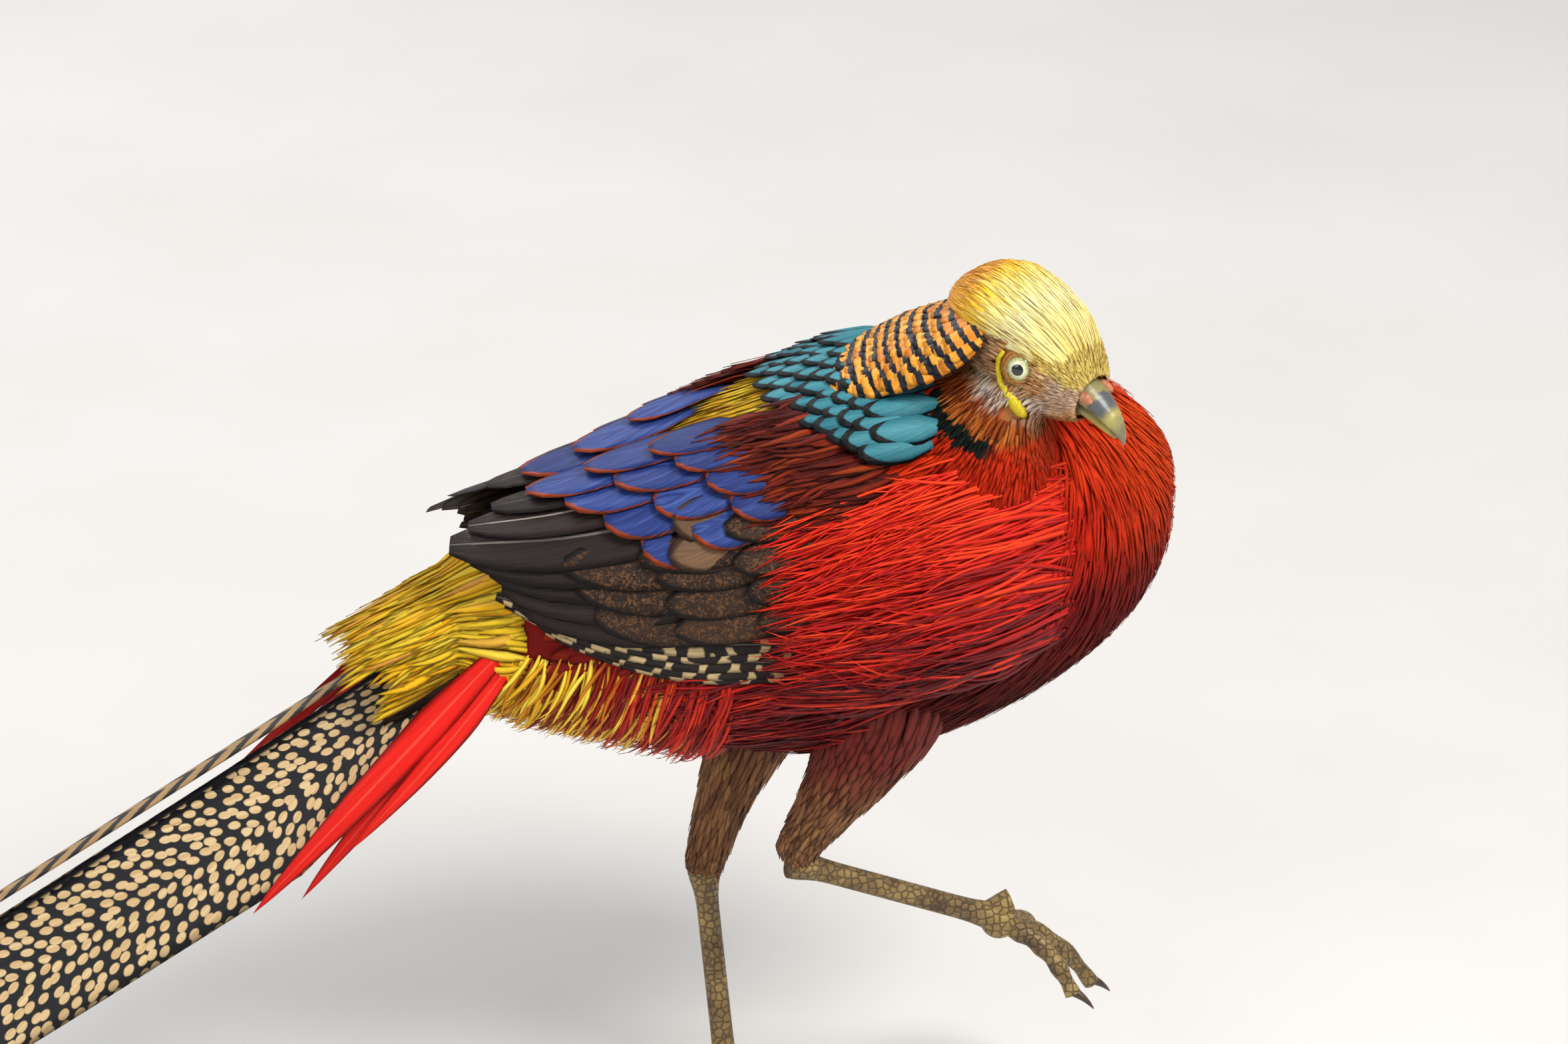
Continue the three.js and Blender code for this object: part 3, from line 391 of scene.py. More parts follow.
def vanes(name, place, root, tip, wide, rise, look, shape=rounded, stations=6, columns=3,
          thick=0.25, sunk=-0.6, camber=0.12, bend=0.0, sag=0.0, lean=0.0, fade=None, lie=None,
          layout="root", sign=1):
    """Feathers over a surface as one mesh, each a closed vane. root and tip are pairs of places
    on the surface, a row for each feather. In millimetres: wide, thick, rise of the tip, sunk (the
    root's height), bend (a bow to the side) and sag (a drop towards the tip). camber is a share of
    the width. lean turns the vane about its shaft, in degrees, and fade says how much of that is
    left along it. lie gives the mesh a value by place, for bars that run on across feathers.
    layout is root, for small patches of the bake map, or cells, for one cell a feather. With a
    sign of -1 the places are taken to the left side."""
    root, tip = (np.asarray(ends, float) * (1, sign) for ends in (root, tip))
    count = len(root)

    def full(value):
        return np.broadcast_to(np.asarray(value, float), count)[:, None]

    u = np.linspace(0, 1, stations)[None, :]
    a = root[:, :1] + (tip[:, :1] - root[:, :1]) * u
    b = root[:, 1:] + (tip[:, 1:] - root[:, 1:]) * u
    high = full(sunk) + (full(rise) - full(sunk)) * np.minimum(1.5 * u, 0.35 + 0.65 * u)
    line = place(a, b, high)
    normal = unit(place(a, b, high + 1) - line)
    ahead = unit(np.gradient(line, axis=1))
    aside = unit(np.cross(ahead, normal))
    tilt = (np.radians(full(lean)) * (1 if fade is None else fade(u)))[..., None]
    turned = aside * np.cos(tilt) - normal * np.sin(tilt)
    normal = normal * np.cos(tilt) + aside * np.sin(tilt)
    aside = turned
    line = line + aside * (full(bend) * np.sin(np.pi * u))[..., None]
    line[..., 2] -= full(sag) * u**1.8
    half = full(wide) * shape(u) / 2
    v = np.linspace(-1, 1, columns)
    top = (line[:, :, None] + aside[:, :, None] * (half[:, :, None] * v)[..., None]
           - normal[:, :, None] * (half[:, :, None] * 2 * camber * v**2)[..., None])
    body = thick * (1 - v[1:-1] ** 2)[::-1] * np.ones((count, stations, 1))
    low = top[:, :, 1:-1][:, :, ::-1] - normal[:, :, None] * body[..., None]
    ring = np.concatenate([top, low], axis=2)
    n = ring.shape[2]
    across = np.concatenate([(v + 1) / 2, (v[1:-1][::-1] + 1) / 2])
    j = np.arange(n)
    following = (j + 1) % n
    k = np.arange(stations - 1)[:, None] * n
    quad = np.stack([k + j, k + following, k + n + following, k + n + j], -1).reshape(-1, 4)
    base = (np.arange(count) * stations * n)[:, None, None]
    faces = (base + quad[None, :, ::-1]).reshape(-1, 4).tolist()
    last = (stations - 1) * n
    for first in range(0, count * stations * n, stations * n):
        faces.append([first + q for q in range(n)])
        faces.append([first + last + q for q in reversed(range(n))])
    mesh = bpy.data.meshes.new(name)
    mesh.from_pydata((ring.reshape(-1, 3) / 1000).tolist(), [], faces)
    tone = rng.random(count)

    def per_vertex(value):
        return np.broadcast_to(value, (count, stations, n)).reshape(-1)

    attribute = mesh.attributes.new("tone", "FLOAT", "POINT")
    attribute.data.foreach_set("value", per_vertex(tone[:, None, None]).astype(np.float32))
    if lie is not None:
        attribute = mesh.attributes.new("lie", "FLOAT", "POINT")
        attribute.data.foreach_set("value", per_vertex(lie(a, b)[:, :, None]).astype(np.float32))
    own = np.stack([per_vertex(across[None, None, :]), per_vertex(u[:, :, None])], -1)
    if layout == "cells":
        side = math.ceil(math.sqrt(count))
        cell = np.stack([np.arange(count) % side, np.arange(count) // side], -1)[:, None, None] / side
        bake = cell + own.reshape(count, stations, n, 2) * 0.94 / side + 0.03 / side
    else:
        spread = np.ptp(root, axis=0) + 1e-6
        home = (root - root.min(0)) / spread * 0.99 + 0.003
        bake = home[:, None, None] + (own.reshape(count, stations, n, 2) - 0.5) * PATCH
    bake = bake.reshape(-1, 2)
    corner = np.empty(len(mesh.loops), np.int32)
    mesh.loops.foreach_get("vertex_index", corner)
    for layer, values in (("vane", own), ("OFBake", bake)):
        made = mesh.uv_layers.new(name=layer)
        made.data.foreach_set("uv", values[corner].astype(np.float32).ravel())
    mesh.polygons.foreach_set("use_smooth", np.ones(len(mesh.polygons), bool))
    mesh.materials.append(look)
    mesh.update()
    piece = link(name, mesh)
    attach(piece, "root")
    return piece


def carried(start, name):
    """A number that the mesh carries at each point: tone or lie."""
    return start.node("ShaderNodeAttribute", {"attribute_name": name}, out=2)


def vane_places(start):
    """Across (-1 to 1) and along (0 to 1) a feather, and the feather's own tone (0 to 1)."""
    uv = start.node("ShaderNodeUVMap", {"uv_map": "vane"})
    across = uv.node("ShaderNodeSeparateXYZ", out=0, i0=uv) * 2 - 1
    ahead = uv.node("ShaderNodeSeparateXYZ", out=1, i0=uv)
    return across, ahead, carried(start, "tone")


def barbed(start, fine, slant=0.9):
    """The same three, and fine lines running out from the shaft to the edge, 0 to 1."""
    across, ahead, tone = vane_places(start)
    out = across.math("ABSOLUTE")
    at = start.node("ShaderNodeCombineXYZ", i0=(ahead - out * slant) * fine, i1=across * 1.2,
                    i2=tone * 40)
    lines = start.node("ShaderNodeTexNoise", Vector=at, Scale=1.0, Detail=3.0, Roughness=0.7)
    return across, ahead, tone, lines


def body_look(start):
    colour = body_colour(start)[0]
    ahead, tone, lines = barbed(start, 9.0)[1:]
    colour = (lines.over(0.35, 0.65) * -0.12 + 0.12 + tone * 0.14).blend(colour, "5A0506")
    bright = ahead.over(0.5, 1) * tone * 0.2
    return bright.blend(colour, "FC5A1A"), lines, 0.0002


def scatter(a_range, b_range, rows, spacing, a_step, b_step, jitter=0.35):
    """Staggered rows of roots between two pairs of limits, spacing apart within a row. a_step and
    b_step are the steps that the jitter is a share of."""
    roots = []
    for k, a in enumerate(np.linspace(*a_range, rows)):
        b = np.arange(b_range[0], b_range[1], spacing) + (k % 2) * spacing / 2
        roots.append(np.stack([np.full(len(b), a), b], -1))
    roots = np.concatenate(roots)
    roots[:, 0] += rng.uniform(-jitter, jitter, len(roots)) * a_step
    roots[:, 1] += rng.uniform(-jitter, jitter, len(roots)) * b_step
    return roots


body_red = material("body_feather", body_look, 0.7, 0.15)


def swept_back(roots, length):
    """Tips for body feathers: back along the trunk, and down over the front of the breast."""
    turn = np.radians(roots[:, 1])
    top = np.clip(np.cos(turn), 0, 1)
    front = np.clip((roots[:, 0] - 110 + 12 * top) / (50 - 36 * top), 0, 1)
    back = length * (front * 0.6 * np.cos(turn) - (1 - front))
    tips = roots + np.stack([back, length * (0.25 + 1.3 * front) * np.sin(turn)], -1)
    tips[:, 0] = np.clip(tips[:, 0], RUMP_END, BREAST_END)
    return tips


def clear_of_back(roots, half):
    """The roots ahead of the neck, within half degrees of the belly's line or on the left
    shoulder, and how far each of them lies out on the breast, 0 to 1."""
    shoulder = (roots[:, 0] > SHOULDER) & (roots[:, 1] > 290)
    roots = roots[(roots[:, 0] > NECK_BASE) | (np.abs(roots[:, 1] - 180) < half) | shoulder]
    return roots, np.clip((roots[:, 0] - 120) / 50, 0, 1)


roots, front = clear_of_back(scatter((BREAST_END, -40), (0, 360), 34, 7.5, 6, 6.5), 134)
vanes("breast_under", on_body, roots, swept_back(roots, 19),
      rng.uniform(7, 9, len(roots)) * (1 - 0.4 * front), rng.uniform(0.3, 0.9, len(roots)), body_red,
      rounded, 5, 3, camber=0.16)
roots, front = clear_of_back(scatter((172, 34), (0, 360), 52, 3.25, 4, 3.6), 146)
vanes("breast_hairs", on_body, roots, swept_back(roots, rng.uniform(16, 24, len(roots))),
      rng.uniform(1.5, 2.6, len(roots)) * (1 - 0.3 * front), rng.uniform(0.7, 1.8, len(roots)), body_red,
      strand, 5, 3, thick=0.15, bend=rng.normal(0, 0.6, len(roots)))

# Neck and cheeks
# Short silky feathers between the head and the breast. A black line runs from under the cape
# down and forward round the cheek; above it they are rufous, then buff, and below it red.
HEAD_CENTRE = np.array([116.4, -44.6, 300.6])
HEAD_YAW = math.radians(55)
HEAD_PITCH = math.radians(18)
HEAD_ROLL = math.radians(-6)
HEAD_SIZE = 1.18  # every size on the head, bill and crest is given before this factor
CHEEK_LINE = [(0, 1.5), (37, 1.82), (62, 2.18), (91, 2.68), (120, 3.1), (180, 3.4)]
WATTLE_AHEAD = 5.0  # the wattle's middle, from between the eyes
WATTLE_UP = -9.2
head_ahead = np.array([math.cos(HEAD_PITCH) * math.cos(HEAD_YAW),
                       -math.cos(HEAD_PITCH) * math.sin(HEAD_YAW), -math.sin(HEAD_PITCH)])
level_right = unit(np.cross(head_ahead, [0, 0, 1]))
head_right = level_right * math.cos(HEAD_ROLL) + np.cross(level_right, head_ahead) * math.sin(HEAD_ROLL)
head_up = np.cross(head_right, head_ahead)
NECK = [  # centre, up, and reaches up, down and aside
    ((80, -14, 234), (-0.7, 0, 0.7), 38, 44, 42), ((94, -20, 252), (-0.65, 0, 0.76), 36, 42, 41),
    ((104, -27, 268), (-0.6, 0.05, 0.8), 28, 37, 36), ((111, -34, 281), (-0.45, 0.1, 0.88), 22, 31, 28),
    ((116, -40, 290), (-0.2, 0.1, 0.97), 17, 22, 21), ((118, -43, 298), head_up, 13, 16, 17)]


def leaning_loft(rows, squareness, cut=0.0):
    """A loft over rows of centre, up and reaches, with cut taken off above and aside. Its right
    is square to up and to the line from the lowest row to the highest."""
    first, last = np.array(rows[0][0], float), np.array(rows[-1][0], float)
    axis = unit(last - first) * (1 if last[2] > first[2] else -1)
    return Loft([(at, up, unit(np.cross(axis, up)), top - cut, bottom, side - cut)
                 for at, up, top, bottom, side in rows], squareness)


def head_places(start):
    """Distances from between the eyes: ahead and up of the head, before its size factor."""
    at = start.node("ShaderNodeTexCoord", out=3)
    off = at.node("ShaderNodeVectorMath", {"operation": "SUBTRACT"}, i0=at, i1=tuple(HEAD_CENTRE / 1000))
    return [off.node("ShaderNodeVectorMath", {"operation": "DOT_PRODUCT"}, out=1, i0=off,
                     i1=tuple(axis * 1000 / HEAD_SIZE)) for axis in (head_ahead, head_up)]


def face_colour(start, tone):
    """Buff and cinnamon of the face, with a pale streak under the eye and a dark ear patch."""
    f, up = head_places(start)
    cloud, hairs = noise(start, 150.0, 3.0), noise(start, 520.0)
    mixed = tone * 0.35 + cloud * 0.5 + hairs * 0.35
    f, up = f + (cloud - 0.5) * 7, up + (cloud - 0.5) * 6
    buff = mixed.ramp((0.3, "8A5428"), (0.5, "B98048"), (0.7, "D3A472"), (0.9, "E6CBA2"))
    pale = mixed.ramp((0.35, "A88A74"), (0.6, "DCC8B4"), (0.85, "F2E8DA"))
    streak = f.over(-16, -6) * (1 - f.over(9, 15)) * up.over(-17, -12) * (1 - up.over(-7, -3))
    colour = (streak * 0.85).blend(buff, pale)
    ear = (1 - f.over(-11, -4)) * f.over(-24, -17) * up.over(-7, -2)
    colour = (ear * 0.7).blend(colour, mixed.ramp((0.3, "5A3B26"), (0.8, "A98464")))
    fleck = (1 - f.over(-14, -9)) * up.over(-13, -9) * (1 - up.over(-7, -4)) * hairs.over(0.5, 0.6)
    colour = (fleck * 0.8).blend(colour, "3A2418")
    lore = f.over(7, 12) * up.over(-8, -4)
    colour = (lore * 0.6).blend(colour, mixed.ramp((0.3, "8C7A6A"), (0.8, "CDBBA6")))
    gape = f.over(0, 7) * (1 - up.over(-11, -8))
    colour = (gape * 0.75).blend(colour, mixed.ramp((0.3, "7A3A18"), (0.8, "B8743E")))
    brow = f.over(-2, 4) * (up + f * 0.4).over(6.5, 9.5)
    return (brow * 0.85).blend(colour, mixed.ramp((0.3, "A88A30"), (0.8, "E6CC66")))


def neck_look(start):
    tone, lines = barbed(start, 8.0)[2:]
    f, up = head_places(start)
    red = (tone * 0.25 + lines * 0.15).blend(body_colour(start)[0], "8A1206")
    rufous = (tone * 0.5 + lines * 0.5).ramp((0.2, "7E3410"), (0.5, "B4521A"), (0.8, "D87F35"))
    buff = face_colour(start, tone)
    above = carried(start, "lie") + (tone - 0.5) * 0.2
    colour = above.over(0.55, 1.0).blend(rufous, buff)
    colour = (1 - above.over(0.0, 0.1)).blend(colour, red)
    front = f.over(-2, 8) * (1 - up.over(-21, -17))
    colour = (front * 0.8).blend(colour, red)
    line = (above + 0.24).over(0, 0.06) * (1 - above.over(0.12, 0.18)) * (1 - f.over(4, 9))
    black = lines.ramp((0.3, "0A0C0A"), (0.7, "1C2A22"))
    return line.blend(colour, black), lines, 0.0004


def over_line(t, degrees):
    """How far up the neck from the black cheek line, whose rows are degrees and place."""
    aside = np.abs((degrees + 180) % 360 - 180)
    return t - np.interp(aside, *zip(*CHEEK_LINE))


on_neck = leaning_loft(NECK, 2.05).place
neck_coat = material("neck_feather", neck_look, 0.7, 0.15)
roots = scatter((4.9, 0.9), (0, 360), 40, 5.2, 0.14, 5)
tips = roots - np.stack([rng.uniform(0.5, 0.75, len(roots)), np.zeros(len(roots))], -1)
laid_close = np.clip(roots[:, 0] / 2.2, 0.3, 1)
at = (on_neck(roots[:, 0] - 0.2, roots[:, 1], np.zeros(len(roots))) - HEAD_CENTRE) / HEAD_SIZE
bare = np.hypot((at @ head_ahead - WATTLE_AHEAD) / 1.2, (at @ head_up - WATTLE_UP) / 1.6) < 3.2
bare &= np.abs(at @ head_right) > 8
roots, tips, laid_close = roots[~bare], tips[~bare], laid_close[~bare]
vanes("neck_feathers", on_neck, roots, tips, rng.uniform(1.8, 3.0, len(roots)),
      rng.uniform(0.4, 1.3, len(roots)) * laid_close,
      neck_coat, pointed, 6, 3, lie=over_line)

# Face
# Tiny hair-like feathers over cheeks, chin and brow, growing back from the bill. They leave
# the rim of the eye and the wattle bare.
EYE_HIGH = 1.5
HEAD = [  # ahead, up, and reaches up, down and aside
    (-25, 2, 2, 2, 2), (-22.5, 1, 11, 11, 11), (-15, 0, 16, 15.5, 15.5), (-5, 0, 17.5, 17, 16.5),
    (5, -0.8, 15.5, 15.5, 14.6), (13, -2.2, 11.5, 12, 11.2), (18.5, -3.6, 7.4, 8.2, 7)]


def in_head(ahead, right, up):
    return HEAD_CENTRE + (head_ahead * ahead + head_right * right + head_up * up) * HEAD_SIZE


def head_loft(rows, squareness=2.1):
    return Loft([(in_head(ahead, 0, high), head_up, head_right, top * HEAD_SIZE, bottom * HEAD_SIZE,
                  side * HEAD_SIZE) for ahead, high, top, bottom, side in rows], squareness)


def face_look(start):
    tone = carried(start, "tone")
    return face_colour(start, tone), tone, 0.0002


on_head = head_loft(HEAD).place
face_coat = material("face_feather", face_look, 0.75, 0.2)
roots = scatter((6.0, 0.6), (0, 360), 60, 4.6, 0.1, 4.6)
lengths = np.minimum(rng.uniform(0.35, 0.6, len(roots)), roots[:, 0] - 0.05)
tips = roots - np.stack([lengths, np.zeros(len(roots))], -1)
at = (on_head(roots[:, 0], roots[:, 1], np.zeros(len(roots))) - HEAD_CENTRE) / HEAD_SIZE
from_eye = np.hypot(at @ head_ahead - 1.5, at @ head_up - EYE_HIGH - 1)
from_wattle = np.hypot((at @ head_ahead - 4.6) / 1.2, (at @ head_up + 8.6) / 2.1)
keep = (np.abs(at @ head_right) < 6) | ((from_eye > 6.6) & (from_wattle > 2.8))
roots, tips = roots[keep], tips[keep]
vanes("face", on_head, roots, tips, rng.uniform(1.0, 1.7, len(roots)), rng.uniform(0.4, 0.9, len(roots)),
      face_coat, strand, 4, 3, thick=0.12, sunk=-0.4)

# Crest
# Long silky strands from the forehead over the crown and past the nape, pale gold, deeper gold
# behind and duller over the bill. They lie over a closed core of the same colour.
CREST = [  # ahead, up, and reaches up, down and aside
    (17, 0.5, 2, 1, 3.5), (13, 3.5, 6.2, 2, 8.4), (5, 6, 10.2, 3, 12.4), (-5, 7, 12, 4, 14.4),
    (-14, 7.4, 12.2, 5, 15), (-21, 6.5, 12, 6, 14), (-28, 4, 10, 6, 11), (-33.5, 1.5, 5.5, 3, 6)]
crest_loft = head_loft(CREST)


def loft_piece(name, loft, steps, sides, grow, look, low=0.0, high=None):
    """A closed solid over a loft from place low to high, standing grow millimetres over it."""
    t = np.linspace(low, loft.end if high is None else high, steps)[:, None] + np.zeros((1, sides))
    angle = np.linspace(0, 360, sides, endpoint=False)[None, :] + np.zeros((steps, 1))
    points = loft.place(t, angle, np.full(t.shape, float(grow))) / 1000
    bm = bmesh.new()
    wrap(bm, [[bm.verts.new(p) for p in ring] for ring in points])
    return finished(bm, name, look)


def finished(bm, name, look):
    """A piece that is flat where it meets the floor, smooth-shaded and unwrapped."""
    bmesh.ops.recalc_face_normals(bm, faces=bm.faces)
    for v in bm.verts:
        v.co.z = max(v.co.z, 0)
    mesh = bpy.data.meshes.new(name)
    bm.to_mesh(mesh)
    bm.free()
    mesh.polygons.foreach_set("use_smooth", np.ones(len(mesh.polygons), bool))
    mesh.materials.append(look)
    piece = link(name, mesh)
    bpy.ops.object.select_all(action="DESELECT")
    bpy.context.view_layer.objects.active = piece
    piece.select_set(True)
    bpy.ops.object.mode_set(mode="EDIT")
    bpy.ops.mesh.select_all(action="SELECT")
    bpy.ops.uv.smart_project(angle_limit=1.1, island_margin=0.01)
    bpy.ops.object.mode_set(mode="OBJECT")
    mesh.uv_layers[0].name = "OFBake"
    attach(piece, "root")
    return piece


def crest_look(start):
    f, up = head_places(start)
    tone, cloud = carried(start, "tone"), noise(start, 60.0)
    lie = (f + (cloud - 0.5) * 10 + (tone - 0.5) * 5).over(-34, 18)
    gold = lie.ramp((0.0, "F8A80A"), (0.16, "FFD02E"), (0.34, "FFEA84"), (0.6, "FFF4B4"),
                    (0.82, "FFEC96"), (1.0, "ECCF66"))
    gold = (tone.over(0.55, 1) * 0.3).blend(gold, "FFF6C0")
    streak = (1 - f.over(-27, -19)) * up.over(6, 12) * tone.over(0.35, 0.6) * 0.6
    return streak.blend(gold, "C8740E"), tone, 0.0002


crest_gold = material("crest_feather", crest_look, 0.42, 0.35)
loft_piece("crest_core", crest_loft, 24, 32, -1.6, crest_gold, 0.2, 6.5)
roots = scatter((0.1, 5.6), (-106, 106), 40, 5.2, 0.16, 5)
ends = np.minimum(roots[:, 0] + rng.uniform(1.6, 3.0, len(roots)), crest_loft.end)
tips = np.stack([ends, roots[:, 1] * 0.95], -1)
crest = vanes("crest_strands", crest_loft.place, roots, tips, rng.uniform(1.0, 1.9, len(roots)),
              rng.uniform(0.0, 1.1, len(roots)), crest_gold, strand, 9, 3, thick=0.18,
              sunk=-1.4, bend=rng.normal(0, 0.6, len(roots)))
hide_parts("crest")

# Cape
# Broad square-ended feathers from the nape down to the shoulders, orange, each row closed by
# blue-black bars that run on across the feathers as arcs.
CAPE = [  # centre, up, and reaches up, down and aside
    ((101, -31, 303), (-0.3, 0.15, 0.95), 16, 8, 23), ((94, -25, 296), (-0.45, 0.1, 0.88), 18, 10, 27),
    ((83, -19, 288), (-0.5, 0.05, 0.86), 20, 12, 30), ((70, -13, 280), (-0.3, 0, 0.95), 20, 14, 31),
    ((56, -10, 273), (-0.15, 0, 0.99), 21, 10, 30), ((43, -10, 270), (-0.1, 0, 1), 18, 6, 24)]
CAPE_BARS = 2.75  # bars for each row of the loft
CAPE_SPREAD = 67  # degrees round the neck that the feathers reach to each side, at the head
on_cape = leaning_loft(CAPE, 2.1, 2.4).place


def cape_look(start):
    tone, lines = barbed(start, 5.0, 0.2)[2:]
    wobble = noise(start, 70.0)
    lie = carried(start, "lie") + (wobble - 0.5) * 0.14 + (lines - 0.5) * 0.08 + (tone - 0.5) * 0.07
    wave = (lie * (2 * math.pi * CAPE_BARS)).math("SINE")
    orange = lines * 0.5 + wobble * 0.3 + tone * 0.25
    orange = orange.ramp((0.3, "C8650C"), (0.5, "EA941C"), (0.75, "F8B844"))
    return wave.over(0.05, 0.35).blend(orange, "0C0D1A"), lines, 0.0003


def square_end(u):
    """A feather's width along it, for a tip cut off square."""
    return np.minimum(0.5 + 1.2 * u, 1) * np.where(u > 0.97, 0.55, np.where(u > 0.9, 0.92, 1))


def bar_place(t, degrees):
    """Place along the cape, drawn back at the sides so that the bars run as arcs."""
    return t + 0.9 * (np.abs(degrees) / 90) ** 2


cape_orange = material("cape_feather", cape_look, 0.5, 0.4)
roots = scatter((0.0, 4.3), (-CAPE_SPREAD, CAPE_SPREAD), 20, 9, 0.06, 4)
roots = roots[np.abs(roots[:, 1]) < CAPE_SPREAD - 8 * roots[:, 0]]
tips = np.stack([np.minimum(roots[:, 0] + 1.15, len(CAPE) - 1), roots[:, 1] * 0.98], -1)
cape = vanes("cape_feathers", on_cape, roots, tips, 6.4 + 0.7 * roots[:, 0],
             rng.uniform(1.8, 2.3, len(roots)), cape_orange, square_end, 8, 5,
             lie=bar_place)
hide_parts("cape")

# Mantle
# The scale-like feathers of the upper back, round-ended and firm, teal with a silky sheen painted lighter
# down each feather's middle, and each with a black edge. They lie like tiles between the cape and the
# wings.
MANTLE_FRONT = 80
MANTLE_REAR = 50


def edge_of(across, ahead, begin=0.62, stretch=2.4):
    """1 at the feather's rim, round its sides and end. The end's curve begins at begin."""
    end = (ahead - begin).math("MAXIMUM", 0.0) * stretch
    return (across * across + end * end).math("SQRT")


def mantle_look(start):
    across, ahead, tone, lines = barbed(start, 7.0)
    rim = edge_of(across, ahead, 0.5, 2.0) + (lines - 0.5) * 0.12
    # Each feather is painted lighter down its middle: a painted sheen over the teal.
    teal_and_sheen = lines * 0.5 + (1 - across.math("ABSOLUTE")) * 0.35 + tone * 0.25
    teal_and_sheen = teal_and_sheen.ramp((0.25, "0A2C34"), (0.5, "1E6672"), (0.85, "4A939E"))
    return rim.over(0.8, 0.88).blend(teal_and_sheen, "06080A"), lines, 0.0004


mantle_teal = material("mantle_feather", mantle_look, 0.5, 0.25)
roots = scatter((MANTLE_FRONT, MANTLE_REAR), (-76, 76), 8, 9, 1.5, 1.5)
roots = roots[np.abs(roots[:, 1]) < np.minimum(16 + 1.3 * (roots[:, 0] - MANTLE_REAR), 48)]
tips = np.stack([roots[:, 0] - 26, roots[:, 1] * 0.94], -1)
mantle = vanes("mantle_feathers", on_body, roots, tips, rng.uniform(11.5, 13, len(roots)),
               rng.uniform(6.6, 7.6, len(roots)), mantle_teal, rounded, 12, 7,
               thick=0.4, sunk=1.0, camber=0.14, layout="cells")
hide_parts("mantle")

# Back and rump
# Golden plumes, loose and hair-like, a few of them tipped orange. They grow from between the
# wings over the rump and spread over the tail's root.
TAIL_ROOT = np.array([-82.0, MID_Y, 208])
TAIL_SWING = math.radians(8)
TAIL_FALL = math.radians(26)
PLUMES_END = -127


def on_rump(x, degrees, high):
    """On the body, and behind its end on a straight run that falls as the tail does."""
    past = np.maximum(RUMP_END - x, 0)
    drop = np.stack([-past, -past * 0.1, -past * math.tan(TAIL_FALL)], -1)
    return on_body(np.maximum(x, RUMP_END), degrees, high) + drop


def golden_look(start):
    tone, lines = barbed(start, 8.0)[2:]
    gold = (tone * 0.6 + lines * 0.5).ramp((0.15, "F09A06"), (0.4, "FCC010"), (0.7, "FFD830"),
                                           (0.95, "FFE868"))
    return (tone.over(0.9, 0.97) * 0.6).blend(gold, "D0480C"), lines, 0.0004


golden = material("golden_plume", golden_look, 0.55, 0.25)
roots = scatter((44, 0), (-13, 13), 16, 2.4, 3, 2)
tips = roots + np.stack([rng.uniform(-30, -22, len(roots)), roots[:, 1] * 0.1], -1)
lifted = np.clip((roots[:, 0] - 10) / 20, 0, 1)
vanes("back_plumes", on_body, roots, tips, rng.uniform(2.0, 3.4, len(roots)),
      rng.uniform(1.4, 2.4, len(roots)) + 3 * lifted, golden, pointed, 7, 3)
roots = scatter((-58, -92), (-112, 112), 16, 4, 2.5, 4)
roots = roots[(np.abs(roots[:, 1]) < 66) | (roots[:, 0] < -64)]
reach = rng.uniform(26, 42, len(roots)) * (1 - 0.35 * (np.abs(roots[:, 1]) > 60))
tips = np.stack([np.maximum(roots[:, 0] - reach, PLUMES_END),
                 roots[:, 1] * 0.95 + rng.normal(0, 3, len(roots))], -1)
rump = vanes("rump_plumes", on_rump, roots, tips, rng.uniform(2.6, 4.6, len(roots)),
             rng.uniform(1.0, 5.0, len(roots)), golden, strand, 9, 3,
             bend=rng.normal(0, 1.0, len(roots)))
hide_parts("rump")

# Wings
# Folded wings. From the body outwards lie blackish primaries spotted with buff, brown-black
# secondaries with pale shafts, dark mottled coverts, rust-edged violet-blue tertials and dark
# red scapulars.
FOLD = [  # x, lowest z, highest z and half width
    (-104, 214, 238, 8), (-92, 206, 243, 17), (-76, 196, 247, 27), (-50, 178, 253, 38), (-20, 161, 263, 48),
    (15, 152, 277, 54), (50, 147, 288, 56.5), (82, 149, 294, 55.5), (104, 157, 292, 52),
]
SIDES = (("right", 1), ("left", -1))
SCAPULARS = 240


def primary_look(start):
    across, ahead, tone, lines = barbed(start, 20.0)
    out, cloud = across.math("ABSOLUTE"), noise(start, 120.0) - 0.5
    beat = ((ahead * 9 + tone * 3 + cloud * 1.1) * (2 * math.pi)).math("SINE") + cloud
    outer = (out + cloud * 0.6).over(0.12, 0.35)
    spots = beat.over(0.3, 0.7) * outer * (lines.over(0.25, 0.5) * 0.5 + 0.5)
    colour = spots.blend(lines.ramp((0.3, "0F0C0B"), (0.7, "2C2320")), "D2B684")
    shaft = 1 - out.over(0.03, 0.08)
    return (shaft * 0.7).blend(colour, "8E8278"), lines, 0.0004


def secondary_look(start):
    across, _, tone, lines = barbed(start, 22.0)
    fleck = noise(start, 420.0, 3.0, Distortion=1.2)
    brown = (lines * 0.7 + tone * 0.2).ramp((0.2, "120D0B"), (0.5, "2A1F1B"), (0.8, "3F2F28"))
    mottle = fleck.over(0.56, 0.64) * across.over(0.1, 0.6) * 0.6
    brown = mottle.blend(brown, "7A4E2C")
    shaft = (1 - across.math("ABSOLUTE").over(0.02, 0.06)) * (tone.over(0.4, 0.8) * 0.7 + 0.2)
    return shaft.blend(brown, "A59C94"), lines, 0.0004


def covert_look(start):
    across, ahead, tone, lines = barbed(start, 9.0)
    fleck = noise(start, 620.0, 4.0, Distortion=1.6)
    brown = (lines * 0.6 + tone * 0.3).ramp((0.2, "1A100B"), (0.6, "3A261A"), (0.9, "5A3E28"))
    brown = (fleck.over(0.5, 0.62) * 0.55).blend(brown, "7E5430")
    return edge_of(across, ahead).over(0.9, 1.0).blend(brown, "1A100C"), lines, 0.0004


